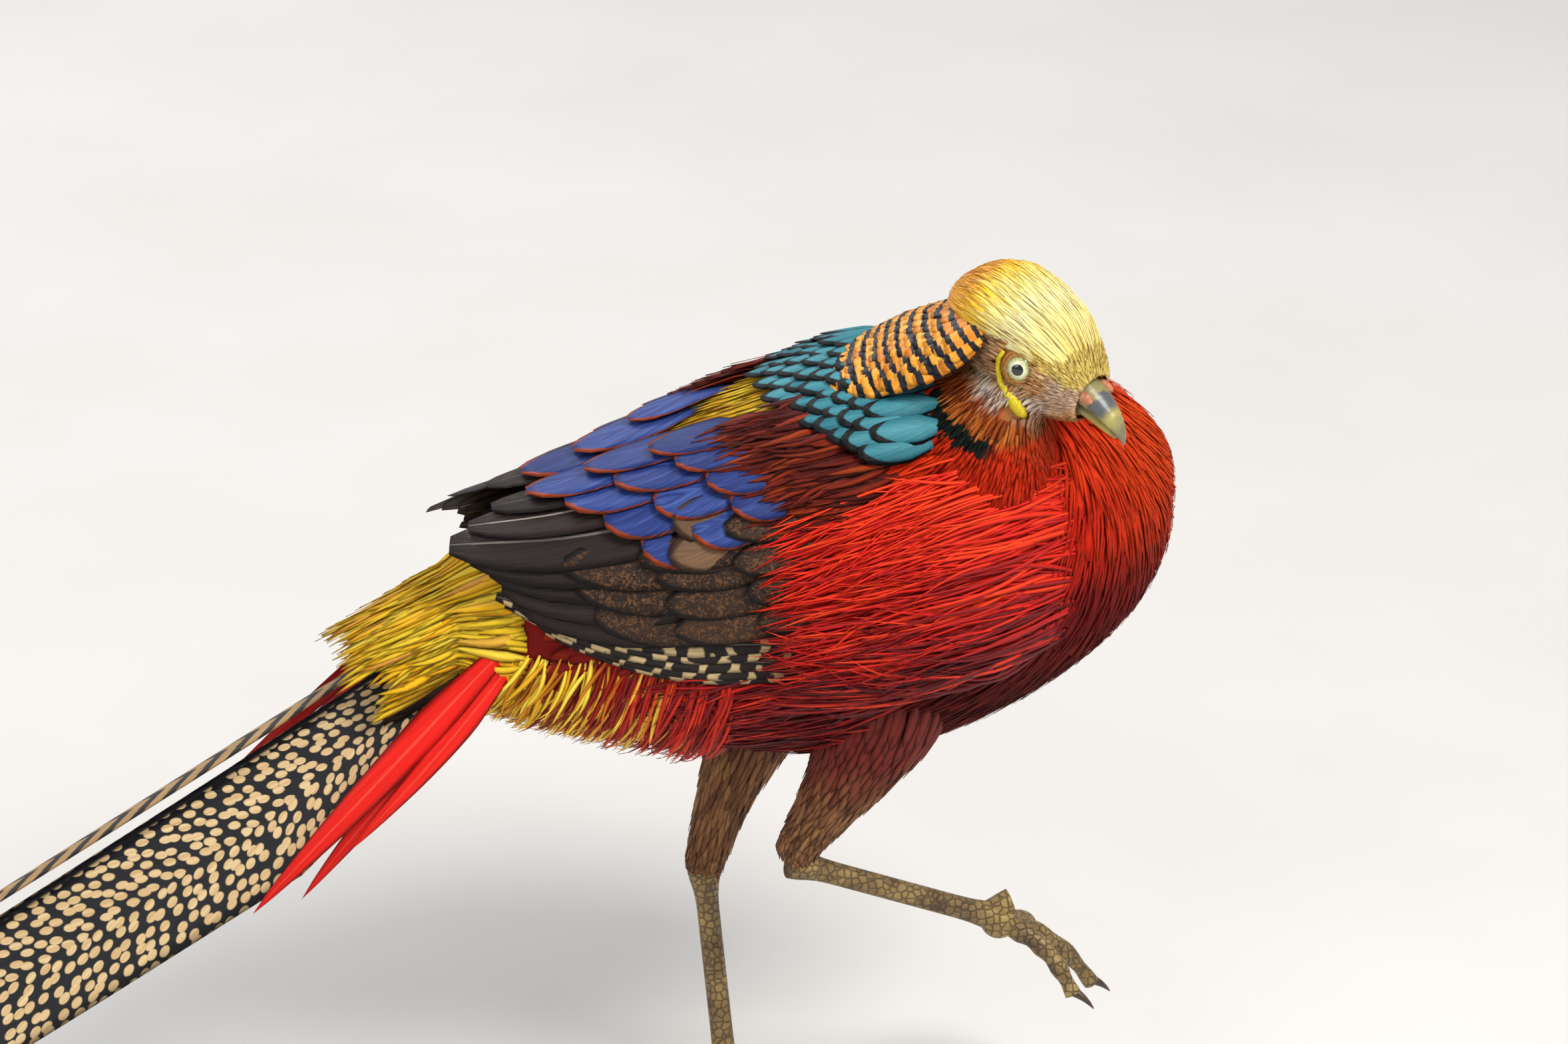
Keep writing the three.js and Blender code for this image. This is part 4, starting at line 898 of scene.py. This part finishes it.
def tertial_look(start):
    across, ahead, tone, lines = barbed(start, 8.0)
    violet = (lines * 0.75 + tone * 0.2).ramp((0.2, "10183E"), (0.5, "263878"), (0.85, "5670B4"))
    rim = edge_of(across, ahead) + (lines - 0.5) * 0.15
    colour = rim.over(0.9, 0.97).blend(violet, "9A3A14")
    base = (1 - ahead.over(0.0, 0.25)) * 0.6
    return base.blend(colour, "20132A"), lines, 0.0005


def fold_look(start):
    across, ahead, tone, lines = barbed(start, 12.0)
    buff = (lines * 0.8 + tone * 0.2).ramp((0.2, "4A3526"), (0.6, "7A5B40"), (0.9, "A5805A"))
    return edge_of(across, ahead).over(0.75, 0.95).blend(buff, "3A2418"), lines, 0.0004


def scapular_look(start):
    tone, lines = barbed(start, 9.0)[2:]
    rust = (lines * 0.8 + tone * 0.4).ramp((0.2, "240806"), (0.5, "5E120A"), (0.75, "9C2C0C"),
                                           (1.0, "D8661A"))
    return rust, lines, 0.0005


# Each group has its lowest and highest roots and tips, as x and degrees round the fold, and a
# count, width, rise and lean of its feathers and their stations.
on_fold = across_body(FOLD)
WING = [
    ("primaries", primary_look, [(36, 106), (26, 92)], [(-58, 93), (-75, 80)], 6, 10, 2.6, 14, 14),
    ("secondaries", secondary_look, [(20, 80), (6, 44)], [(-66, 78), (-87, 44)], 5, 25, 3.2, 8, 14),
    ("inner_secondaries", secondary_look, [(2, 30), (-4, 13)], [(-80, 28), (-70, 13)], 2, 20, 3.9, 8, 14),
    ("coverts_outer", covert_look, [(16, 84), (12, 62)], [(-44, 80), (-52, 58)], 3, 20, 4.4, 8, 14),
    ("coverts_middle", covert_look, [(38, 84), (34, 60)], [(-16, 85), (-26, 58)], 4, 17, 5.0, 6, 12),
    ("coverts_inner", covert_look, [(54, 84), (50, 60)], [(10, 86), (2, 57)], 4, 16, 5.4, 6, 12),
    ("tertials_rear", tertial_look, [(2, 50), (-10, 10)], [(-24, 54), (-58, 10)], 4, 23, 5.2, 8, 12),
    ("tertials_middle", tertial_look, [(18, 50), (8, 11)], [(-8, 53), (-38, 9)], 4, 22, 5.8, 8, 12),
    ("tertials_front", tertial_look, [(32, 48), (22, 18)], [(5, 49), (-16, 12)], 4, 19, 6.4, 8, 12),
    ("fold_edge", fold_look, [(20, 60), (14, 54)], [(-18, 60), (-14, 48)], 2, 18, 6.2, 0, 12),
]
wing_looks = {look: material(look.__name__.replace("look", "feather"), look, 0.5, 0.25) for look in
              (primary_look, secondary_look, covert_look, tertial_look, fold_look, scapular_look)}
for side, sign in SIDES:
    for name, look, (low_root, high_root), (low_tip, high_tip), count, wide, rise, lean, steps in WING:
        v = np.linspace(0, 1, count)[:, None]
        root = np.array(low_root) * (1 - v) + np.array(high_root) * v + rng.normal(0, 0.5, (count, 2))
        tip = np.array(low_tip) * (1 - v) + np.array(high_tip) * v + rng.normal(0, 0.8, (count, 2))
        group = vanes(f"{name}_{side}", on_fold, root, tip, wide, rise + 0.15 * np.arange(count),
                      wing_looks[look], rounded, steps, 7, thick=0.4, sunk=-0.3,
                      camber=0.06, lean=lean * sign, layout="cells", sign=sign)
    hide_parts("wing_" + side)
    v = rng.random((SCAPULARS, 2))
    root = np.stack([50 - 26 * v[:, 0], 16 + 48 * v[:, 1]], -1)
    root[:, 0] += np.clip(root[:, 1] - 30, 0, 30) * 0.5
    tip = root - np.stack([rng.uniform(22, 32, SCAPULARS), rng.normal(0, 1.5, SCAPULARS)], -1)
    vanes("scapulars_" + side, on_fold, root, tip, rng.uniform(2.0, 4.5, SCAPULARS),
          rng.uniform(4.6, 6.4, SCAPULARS), wing_looks[scapular_look], pointed, 8, 3,
          bend=rng.normal(0, 1.5, SCAPULARS), sign=sign)

# Side plumes and flank fringe
# Loose scarlet plumes of the breast's side, combed back over the wing's front like hair, and
# below the wing a fringe that turns from crimson to yellow towards the tail.
SIDE_PLUMES = 1150
FLANK_PLUMES = 480
FLANK_END = -34  # x behind which only the fringe lies over the flank
FRINGE = 760
FRINGE_END = -88


def plume_look(start):
    ahead, tone = vane_places(start)[1:]
    # Darker lower down and brighter higher up: the plumes' own scarlet with painted shade towards the
    # underside.
    high = spot(start)[2].over(165, 280)
    red = (tone * 0.5 + high * 0.6).ramp((0.1, "40050C"), (0.35, "8A090E"), (0.6, "D41608"),
                                         (0.9, "F43A0C"))
    return (tone.over(0.8, 1) * ahead * 0.7).blend(red, "F04A18"), tone, 0.0002


plume_red = material("side_plume", plume_look, 0.55, 0.25)
for side, sign in SIDES:
    v = rng.random((SIDE_PLUMES, 2))
    root = np.stack([132 - 78 * v[:, 0], 56 + 62 * v[:, 1]], -1)
    reach = rng.uniform(34, 64, SIDE_PLUMES)
    tip = np.stack([root[:, 0] - reach,
                    root[:, 1] + (80 - root[:, 1]) * 0.2 + rng.normal(0, 3, SIDE_PLUMES)], -1)
    tip[:, 0] = np.maximum(tip[:, 0], 6 + rng.uniform(0, 12, SIDE_PLUMES))
    over_wing = np.clip((92 - tip[:, 0]) / 30, 0, 1)
    plumes = vanes("side_plumes_" + side, on_body, root, tip, rng.uniform(0.9, 2.2, SIDE_PLUMES),
                   2.5 + over_wing * rng.uniform(3.5, 7.5, SIDE_PLUMES), plume_red,
                   strand, 12, 3, thick=0.2, bend=rng.normal(0, 3.0, SIDE_PLUMES), sign=sign)
    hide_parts("plumes_" + side)
    v = rng.random((FLANK_PLUMES, 2))
    root = np.stack([70 - 110 * v[:, 0], 100 + 34 * v[:, 1]], -1)
    tip = np.stack([root[:, 0] - rng.uniform(26, 46, FLANK_PLUMES),
                    root[:, 1] + rng.normal(6, 4, FLANK_PLUMES)], -1)
    kept = tip[:, 0] > FLANK_END
    root, tip = root[kept], tip[kept]
    vanes("flank_plumes_" + side, on_body, root, tip, rng.uniform(1.0, 2.4, len(root)),
          rng.uniform(1.5, 4.0, len(root)), plume_red, strand, 8, 3, thick=0.2,
          bend=rng.normal(0, 2.0, len(root)), sign=sign)


def fringe_look(start):
    tone = carried(start, "tone")
    rear = (-1 * spot(start)[0] + (tone - 0.5) * 64).over(34, 66)
    yellow = tone.ramp((0.1, "E08A08"), (0.5, "F8C41C"), (0.9, "FFE04A"))
    red = tone.ramp((0.2, "7E0C08"), (0.8, "D8240A"))
    return rear.blend(red, yellow), tone, 0.0002


fringe_gold = material("flank_fringe", fringe_look, 0.55, 0.25)
for side, sign in SIDES:
    v = rng.random((FRINGE, 2))
    root = np.stack([6 - 84 * v[:, 0], 90 + 26 * v[:, 1]], -1)
    tip = np.stack([root[:, 0] - rng.uniform(4, 14, FRINGE), root[:, 1] + rng.uniform(26, 62, FRINGE)], -1)
    tip[:, 0] = np.maximum(tip[:, 0], FRINGE_END)
    vanes("flank_fringe_" + side, on_body, root, tip, rng.uniform(1.2, 2.4, FRINGE),
          rng.uniform(2.0, 5.5, FRINGE), fringe_gold, pointed, 8, 3, thick=0.2,
          bend=rng.normal(0, 1.2, FRINGE), sag=rng.uniform(0, 5, FRINGE), sign=sign)

# Tail
# Long vaulted feathers in pairs, the middle pair longest and roofed over the rest: black with
# a net of buff spots, the outer pairs barred.
TAIL_LENGTH = 660
TAIL_STRAIGHT = 150  # how far back its middle line falls evenly
TAIL_LAND = 560  # about how far along it that line reaches the floor
TAIL_REST = 0.9  # its height there
TAIL_LAYER = 1.6  # from one pair of feathers down to the next
TAIL_LEAN = 44  # degrees that each half of the roof slopes
ROOF_END = 260  # where the roof begins to open. It lies flat twice as far back
TAIL_SHARES = [1, 0.8, 0.64, 0.52, 0.42, 0.34, 0.27]  # each pair's length against the middle one
TAIL_WIDTHS = [48, 40, 36, 32, 29, 27, 25]
tail_aside = np.array([math.sin(TAIL_SWING), -math.cos(TAIL_SWING), 0])


def tail_line(s):
    """The tail's middle line, s millimetres from its root, falling evenly and then curving out
    along the floor. level is that distance as seen from above."""
    fall = math.tan(TAIL_FALL)
    level = s * math.cos(TAIL_FALL * 0.7)
    straight = TAIL_ROOT[2] - fall * np.minimum(level, TAIL_STRAIGHT)
    land = TAIL_LAND * 0.93 - TAIL_STRAIGHT
    rest = np.clip((level - TAIL_STRAIGHT) / land, 0, 1)
    drop = TAIL_ROOT[2] - fall * TAIL_STRAIGHT - TAIL_REST
    curved = TAIL_REST + drop * (1 - rest) ** (fall * land / drop)
    return np.stack([TAIL_ROOT[0] - level * math.cos(TAIL_SWING),
                     TAIL_ROOT[1] - level * math.sin(TAIL_SWING),
                     np.where(level <= TAIL_STRAIGHT, straight, curved)], -1)


def by_tail(s, aside, high):
    """Places beside and over the tail's middle line."""
    way = unit(tail_line(s + 2) - tail_line(np.maximum(s - 2, 0)))
    up = unit(np.cross(way, tail_aside))
    up = up * np.sign(up[..., 2:] + 1e-9)
    return tail_line(s) + tail_aside * aside[..., None] + up * high[..., None]


def opened(s):
    """How far the roof has opened, from 0 where it's steep to 1 where it lies flat."""
    return np.clip((s - ROOF_END) / ROOF_END, 0, 1)


def net_look(start):
    across, ahead, tone, lines = barbed(start, 180.0, 0.12)
    down = ahead * 150 - ahead * ahead * 34 - across.math("ABSOLUTE") * 2 + tone * 7
    at = start.node("ShaderNodeCombineXYZ", i0=across * 5.6, i1=down)
    warped = start.node("ShaderNodeTexNoise", Vector=at, Scale=0.9, Detail=1.0)
    far = start.node("ShaderNodeTexVoronoi", {"voronoi_dimensions": "2D"}, Vector=at, Scale=1.0,
                     Randomness=0.6)
    spots = 1 - (far + (warped - 0.5) * 0.16 + (lines - 0.5) * 0.1).over(0.34, 0.44)
    buff = (lines * 0.8 + tone * 0.1).ramp((0.3, "C09A66"), (0.6, "E0C594"), (0.9, "F2DFB8"))
    colour = spots.blend("0C0C10", buff)
    inner = across.over(0.88, 0.93)
    return inner.blend(colour, "23232B"), lines, 0.0004


def bar_look(start):
    across, ahead, _, lines = barbed(start, 120.0, 0.12)
    out = across.math("ABSOLUTE")
    wave = ((ahead * 34 - out * 0.9 + (lines - 0.5) * 0.3) * (2 * math.pi)).math("SINE")
    buff = lines.ramp((0.3, "8E6A40"), (0.6, "B9935F"), (0.9, "D0B082"))
    return wave.over(-0.1, 0.4).blend(buff, "17120F"), lines, 0.0004


def tail_shape(u):
    """A tail feather's width along it."""
    return np.minimum(0.45 + 4 * u, 1) * np.clip(1 - u**7, 0.003, 1) ** 0.7 * (1 - 0.28 * u)


net = material("tail_net", net_look, 0.5, 0.4)
bars = material("tail_bars", bar_look, 0.5, 0.4)
for k, (share, wide) in enumerate(zip(TAIL_SHARES, TAIL_WIDTHS)):
    length = TAIL_LENGTH * share
    for side, sign in SIDES:

        def place(s, aside, high):
            u = s / length
            lean = math.radians(TAIL_LEAN) * (1 - opened(s))
            inner = 0.8 + 1.6 * np.clip(u * 3, 0, 1) + 0.9 * k
            middle = inner + wide / 2 * tail_shape(np.clip(u, 0, 1))
            down = middle * np.sin(lean) + TAIL_LAYER * k * (1 - 0.75 * opened(s))
            return by_tail(s, sign * (middle * np.cos(lean)) + aside, high - down)

        tail = vanes(f"tail_{side}_{k}", place, [(0.0, 0.0)], [(length, 0.0)], wide, 0.0,
                     net if k in (0, 2) else bars, tail_shape, 16 + int(50 * share), 9,
                     thick=0.5, sunk=0.0, camber=0.03, lean=-TAIL_LEAN * sign,
                     fade=lambda u: 1 - opened(u * length), layout="cells")
vanes("tail_far", by_tail, [(14.0, -6.0)], [(430.0, -7.0)], 13, 2.5, bars, tail_shape, 40, 7,
      thick=0.5, sunk=0.8, camber=0.1, lean=12, layout="cells")
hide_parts("tail")

# Long tail coverts
# Narrow scarlet feathers, three to a side, that hang on edge beside the tail's root, the
# longest uppermost. Dark short feathers close the vent under them.
LONG_COVERTS = [(98, 31, 39), (80, 36, 36), (64, 22, 42)]  # length, drop and place aside at the tip


def scarlet_look(start):
    across, _, tone, lines = barbed(start, 30.0, 0.6)
    red = (lines * 0.8 + tone * 0.2).ramp((0.2, "C80C06"), (0.6, "F01A0C"), (0.9, "FA3A20"))
    shaft = 1 - across.math("ABSOLUTE").over(0.04, 0.12)
    return (shaft * 0.25).blend(red, "F27A5E"), lines, 0.0004


scarlet = material("long_covert", scarlet_look, 0.5, 0.25)
for side, sign in SIDES:
    for i, (length, drop, aside) in enumerate(LONG_COVERTS):
        covert = vanes(f"long_covert_{side}_{i}", by_tail, [(-6, 29)], [(length, aside)], 14 - 2 * i,
                       -5 - 3 * i, scarlet, pointed, 20, 5, thick=0.5,
                       sunk=-4 - 3 * i, camber=0.15, bend=-4 * sign, sag=drop, lean=-62 * sign,
                       layout="cells", sign=sign)
    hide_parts("coverts_" + side)


def dark_look(start):
    tone, lines = barbed(start, 9.0, 0.8)[2:]
    dark = (lines * 0.8 + tone * 0.3).ramp((0.2, "0E0908"), (0.6, "2A1710"), (1.0, "4C2A18"))
    return dark, lines, 0.0004


vent_dark = material("vent_feather", dark_look, 0.6, 0.3)
roots = scatter((-56, -90), (118, 242), 8, 11, 3, 4)
tips = np.stack([np.maximum(roots[:, 0] - 24, -112), roots[:, 1]], -1)
vanes("vent", on_rump, roots, tips, rng.uniform(7, 10, len(roots)), rng.uniform(1.0, 2.4, len(roots)),
      vent_dark, rounded, 6, 3)

# Thighs
# Short close feathers in staggered rows round each thigh down to the hock, chestnut, and
# crimson where they run into the belly.
THIGHS = {  # points of the middle line, from the trunk to the hock
    "left": [(42, 14, 188), (34, 13, 160), (24, 11, 138), (14, 8, 116), (6.8, 5.3, 95), (6, 5, 88)],
    "right": [(66, -34, 190), (60, -37, 166), (49, -39, 146), (37, -39, 129), (29.5, -38, 117),
              (30.5, -38, 111)],
}
THIGH_SIZES = [  # half widths, aside and fore
    (19, 27), (17, 22), (12, 15), (8.4, 9.6), (6, 6.8), (4.4, 5)]


def thigh_look(start):
    tone, lines = barbed(start, 8.0, 0.8)[2:]
    brown = (lines * 0.6 + tone * 0.5).ramp((0.2, "4A2A16"), (0.5, "7E5130"), (0.9, "A9784A"))
    return (spot(start)[2].over(128, 158) * 0.9).blend(brown, "6E0D0A"), lines, 0.0004


thigh_brown = material("thigh_feather", thigh_look, 0.65, 0.3)
for side, line in THIGHS.items():
    line = np.array(line, float)
    way = unit(line[-1] - line[0])
    aside = unit(np.cross(way, [1, 0, 0]))
    fore = np.cross(aside, way)
    thigh = Loft([(at, fore, aside, b, b, a) for at, (a, b) in zip(line, THIGH_SIZES)], 2)
    roots = scatter((0.4, 4.1), (0, 360), 26, 15, 0.1, 8)
    tips = np.stack([roots[:, 0] + 0.7, roots[:, 1]], -1)
    vanes("thigh_feathers_" + side, thigh.place, roots, tips, 4.6 - roots[:, 0] * 0.6,
          rng.uniform(0.4, 1.2, len(roots)), thigh_brown, rounded, 6, 3, sunk=-0.8)

# Eyes
# A wet ball with a pale iris and a black pupil, a thin orange-brown rim of lid in two rings,
# and the bare yellow wattle, a soft roll of skin from behind the eye to below it.
EYE_RADIUS = 5.3 * HEAD_SIZE
EYE_ASIDE = 11.9
LID_OPENING = 4.0 * HEAD_SIZE  # radius of the rim's middle line
LID_STEPS = 40
TUBE_SLANT = (0.3, 0.5, 0.8)  # a direction that no tube runs along
WATTLE = [  # ahead, aside, up and radius
    (-4.6, 15.9, 5.4, 0.7), (-5.6, 16.0, 2.5, 0.9), (-4.8, 16.2, -1.0, 1.0), (-2.4, 16.8, -4.0, 1.2),
    (1.4, 17.2, -5.8, 1.7), (4.2, 16.8, -7.8, 2.3), (6.0, 15.6, -10.0, 2.2), (6.8, 14.2, -11.8, 1.2)]


def ball(name, centre, radii, axes, look, rings=24):
    """A ball stretched to a radius along each of its three axes."""
    bm = bmesh.new()
    bmesh.ops.create_uvsphere(bm, u_segments=2 * rings, v_segments=rings, radius=1)
    turn = Matrix([[axes[c][r] * radii[c] / 1000 for c in range(3)] for r in range(3)]).to_4x4()
    bmesh.ops.transform(bm, matrix=Matrix.Translation(Vector(centre / 1000)) @ turn, verts=bm.verts)
    return finished(bm, name, look)


def ring_piece(name, points, radii, look, sides=10, closed=False):
    """A round tube through points, in millimetres, joined to a ring or capped at its ends."""
    points = np.asarray(points, float)
    around = np.roll(points, -1, 0) - np.roll(points, 1, 0)
    ahead = unit(around if closed else np.gradient(points, axis=0))
    aside = unit(np.cross(ahead, TUBE_SLANT))
    up = np.cross(aside, ahead)
    turn = np.linspace(0, 2 * math.pi, sides, endpoint=False)
    bm = bmesh.new()
    wrap(bm, [[bm.verts.new((p + (a * math.cos(q) + u * math.sin(q)) * radius) / 1000) for q in turn]
              for p, a, u, radius in zip(points, aside, up, radii)], closed)
    return finished(bm, name, look)


def lid_look(start):
    grain = noise(start, 900.0)
    return grain.ramp((0.3, "8A4E1C"), (0.7, "C58A3A")), grain, 0.0002


def wattle_look(start):
    at = start.node("ShaderNodeTexCoord", out=3)
    grain = start.node("ShaderNodeTexVoronoi", Vector=at, Scale=1300.0)
    return grain.ramp((0.0, "EEDC10"), (0.6, "CDB508")), grain, 0.0002


lid_skin = material("lid_skin", lid_look, 0.5)
wattle_skin = material("wattle_skin", wattle_look, 0.5)
for side, sign in SIDES:
    centre = in_head(0, sign * EYE_ASIDE, EYE_HIGH)
    gaze = unit(head_right * (0.86 * sign) + head_ahead * 0.36 + head_up * 0.3)
    across = unit(np.cross(head_up, gaze))
    raised = np.cross(gaze, across)

    def eye_look(start, centre=centre, gaze=gaze):
        at = start.node("ShaderNodeTexCoord", out=3)
        off = at.node("ShaderNodeVectorMath", {"operation": "SUBTRACT"}, i0=at, i1=tuple(centre / 1000))
        facing = off.node("ShaderNodeVectorMath", {"operation": "DOT_PRODUCT"}, out=1, i0=off,
                          i1=tuple(gaze * 1000 / EYE_RADIUS))
        iris = noise(start, 900.0) * 0.2 + facing * 0.8
        iris = iris.ramp((0.7, "84864C"), (0.78, "C9CB92"), (0.86, "EEEDC4"))
        return facing.over(0.935, 0.945).blend(iris, "020203"), None, 0

    eye = ball("eyeball_" + side, centre, (EYE_RADIUS,) * 3, (across, raised, gaze),
               material("eye_" + side, eye_look, 0.05, 0.5, Coat_Weight=1.0, Coat_Roughness=0.02))
    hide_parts("eye_" + side)
    turn = np.linspace(0, 2 * math.pi, LID_STEPS, endpoint=False)[:, None]
    for ring, (opening, thick) in enumerate([(LID_OPENING, 0.62), (LID_OPENING + 0.9, 0.95)]):
        depth = math.sqrt(max(EYE_RADIUS**2 - opening**2, 0))
        rim = centre + gaze * depth + (across * np.cos(turn) + raised * np.sin(turn)) * opening
        ring_piece(f"lid_{side}_{ring}", rim, [thick] * LID_STEPS, lid_skin, 10, True)
    line = [in_head(ahead, sign * aside, high) for ahead, aside, high, _ in WATTLE]
    ring_piece("wattle_" + side, line, [row[3] for row in WATTLE], wattle_skin, 12)

# Bill
# Two halves of horn, yellowish, with a blue-grey patch on the upper one and a pinkish fold
# over each nostril. Each is a closed solid over ovals along the bill.
BILL_UPPER = [  # ahead, up, and reaches up, down and aside
    (14, -2.5, 4.8, 2.5, 5.7), (17, -3.2, 4.7, 1.8, 5.6), (20.5, -3.8, 4.1, 1.5, 5.1),
    (24.5, -5, 3.5, 1.4, 4.2), (28.6, -6.8, 2.7, 1.4, 3), (31.7, -9, 1.7, 1.5, 1.6),
    (33, -11.4, 0.6, 0.6, 0.6)]
BILL_LOWER = [
    (12.3, -6.6, 1.6, 2.5, 5), (17, -7.1, 1.8, 2.2, 4.6), (21.8, -7.8, 1.6, 2, 3.8),
    (26.6, -9, 1.1, 1.6, 2.7), (30, -10.3, 0.7, 0.9, 1.3)]


def bill_look(start):
    f, up = head_places(start)
    cloud = noise(start, 300.0, 3.0)
    horn = (f + (cloud - 0.5) * 5).over(17, 33)
    horn = horn.ramp((0.0, "8E8458"), (0.4, "A89A48"), (0.75, "B5A85C"), (1.0, "77735A"))
    grey = (f + (cloud - 0.5) * 8).over(20, 22) * (1 - f.over(25, 28)) * up.over(-6.5, -4)
    return (grey * 0.85).blend(horn, "3E4A60"), cloud, 0.0002


def nostril_look(start):
    cloud = noise(start, 700.0)
    return cloud.ramp((0.3, "A8603E"), (0.7, "D0906A")), cloud, 0.0002


horn = material("bill_horn", bill_look, 0.32)
upper = loft_piece("bill_top", head_loft(BILL_UPPER, 2), 26, 24, 0, horn)
lower = loft_piece("bill_under", head_loft(BILL_LOWER, 2), 22, 20, 0, horn)
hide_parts("bill_upper")
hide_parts("bill_lower")
nostril_pink = material("nostril_fold", nostril_look, 0.5)
for side, sign in SIDES:
    ball("nostril_fold_" + side, in_head(18.6, sign * 4.6, -1.4), (4.0, 2.0, 1.7),
         (head_ahead, head_up, head_right * sign), nostril_pink, 12)

# Legs and feet
# Scaly shanks and toes, horn-brown and yellowish, and curved brown claws, all round tubes over
# a ball at the middle of each foot. The left foot stands and the right one is lifted.
TARSUS = 88
PAD_X = 13
SHANK_RADIUS = 4.1
TOE_RADIUS = 4.4
CLAW_RADIUS = 1.9
CLAW_LENGTH = 10
HIND_CLAW_LENGTH = 6
FLAT_SINK = 0.8  # how far the underside of a standing toe is pressed flat
TOES = [  # name, length, degrees from straight ahead and joints
    ("inner", 35, -34, 2), ("middle", 47, -2, 3), ("outer", 37, 30, 4), ("hind", 17, 180, 1)]
lift = math.radians(30)
STANCES = {
    "left": dict(hock=np.array([6.0, 5, 4 + TARSUS]), ankle=np.array([PAD_X, 0, 6.6]),
                 ahead=np.array([1.0, 0, 0]), aside=np.array([0, 1.0, 0]), up=np.array([0, 0, 1.0]),
                 arch=0, curl=0, level=0),
    "right": dict(hock=np.array([28.0, -38, 113]), ankle=np.array([106.0, -33, 77]),
                  ahead=unit(np.array([math.cos(lift), 0.03, -math.sin(lift)])),
                  aside=np.array([0, -1.0, 0]), up=np.array([math.sin(lift), 0, math.cos(lift)]),
                  arch=3, curl=7, level=None),
}


def leg_look(start):
    at = start.node("ShaderNodeTexCoord", out=3)
    cells = start.node("ShaderNodeTexVoronoi", {"feature": "DISTANCE_TO_EDGE"}, Vector=at,
                       Scale=340.0, Randomness=0.6)
    horn = noise(start, 120.0, 3.0).ramp((0.3, "5C4526"), (0.55, "8A7040"), (0.75, "A88C50"))
    gap = 1 - cells.over(0.02, 0.1)
    return (gap * 0.6).blend(horn, "33261A"), cells.over(0.0, 0.14), 0.0005


def claw_look(start):
    cloud = noise(start, 400.0)
    return cloud.ramp((0.3, "2E2219"), (0.7, "5C4935")), cloud, 0.0001


leg_skin = material("leg_scales", leg_look, 0.5)
claw_horn = material("claw_horn", claw_look, 0.35)
for side, st in STANCES.items():
    u = np.linspace(0, 1, 24)
    joint = 2.2 * np.exp(-((u / 0.09) ** 2)) + 1.6 * np.exp(-(((1 - u) / 0.1) ** 2))
    down = st["ankle"] + st["up"] - st["hock"]
    shank = ring_piece("tarsus_" + side, st["hock"] + down * u[:, None], SHANK_RADIUS + joint * 0.9,
                       leg_skin, 20)
    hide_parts("shank_" + side)
    level = st["ankle"] @ st["up"] - 4 if st["level"] is None else st["level"]
    for name, length, turn, joints in TOES:
        q = math.radians(turn)
        way = st["ahead"] * math.cos(q) + st["aside"] * math.sin(q)
        u = np.linspace(0, 1, 20)
        radius = TOE_RADIUS - 1.7 * u
        high = radius - FLAT_SINK - st["ankle"] @ st["up"] + level
        if name == "hind":
            high = high + 9 * (1 - np.minimum(u / 0.55, 1))
        else:
            high = high + st["arch"] * np.sin(math.pi * u) - st["curl"] * u * u
        line = st["ankle"] + way * (length * u)[:, None] + st["up"] * high[:, None]
        swell = radius + 0.4 * np.cos(2 * math.pi * joints * u)
        ring_piece(f"toe_{side}_{name}", line, swell * 0.97, leg_skin, 16)
        u = np.linspace(0, 1, 9)
        long = HIND_CLAW_LENGTH if name == "hind" else CLAW_LENGTH
        bow = 0.9 + 1.1 * u - 2.6 * u * u
        claw_line = line[-1] + way * (long * u - 1)[:, None] + st["up"] * bow[:, None]
        claw = ring_piece(f"nail_{side}_{name}", claw_line, CLAW_RADIUS - 1.65 * u**1.3, claw_horn,
                          12)
        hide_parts(f"claw_{side}_{name}")
    pad = ball("pad_" + side, st["ankle"], (6.8, 6.2, 6.5), (st["ahead"], st["aside"], st["up"]),
               leg_skin, 14)
    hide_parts("foot_" + side)
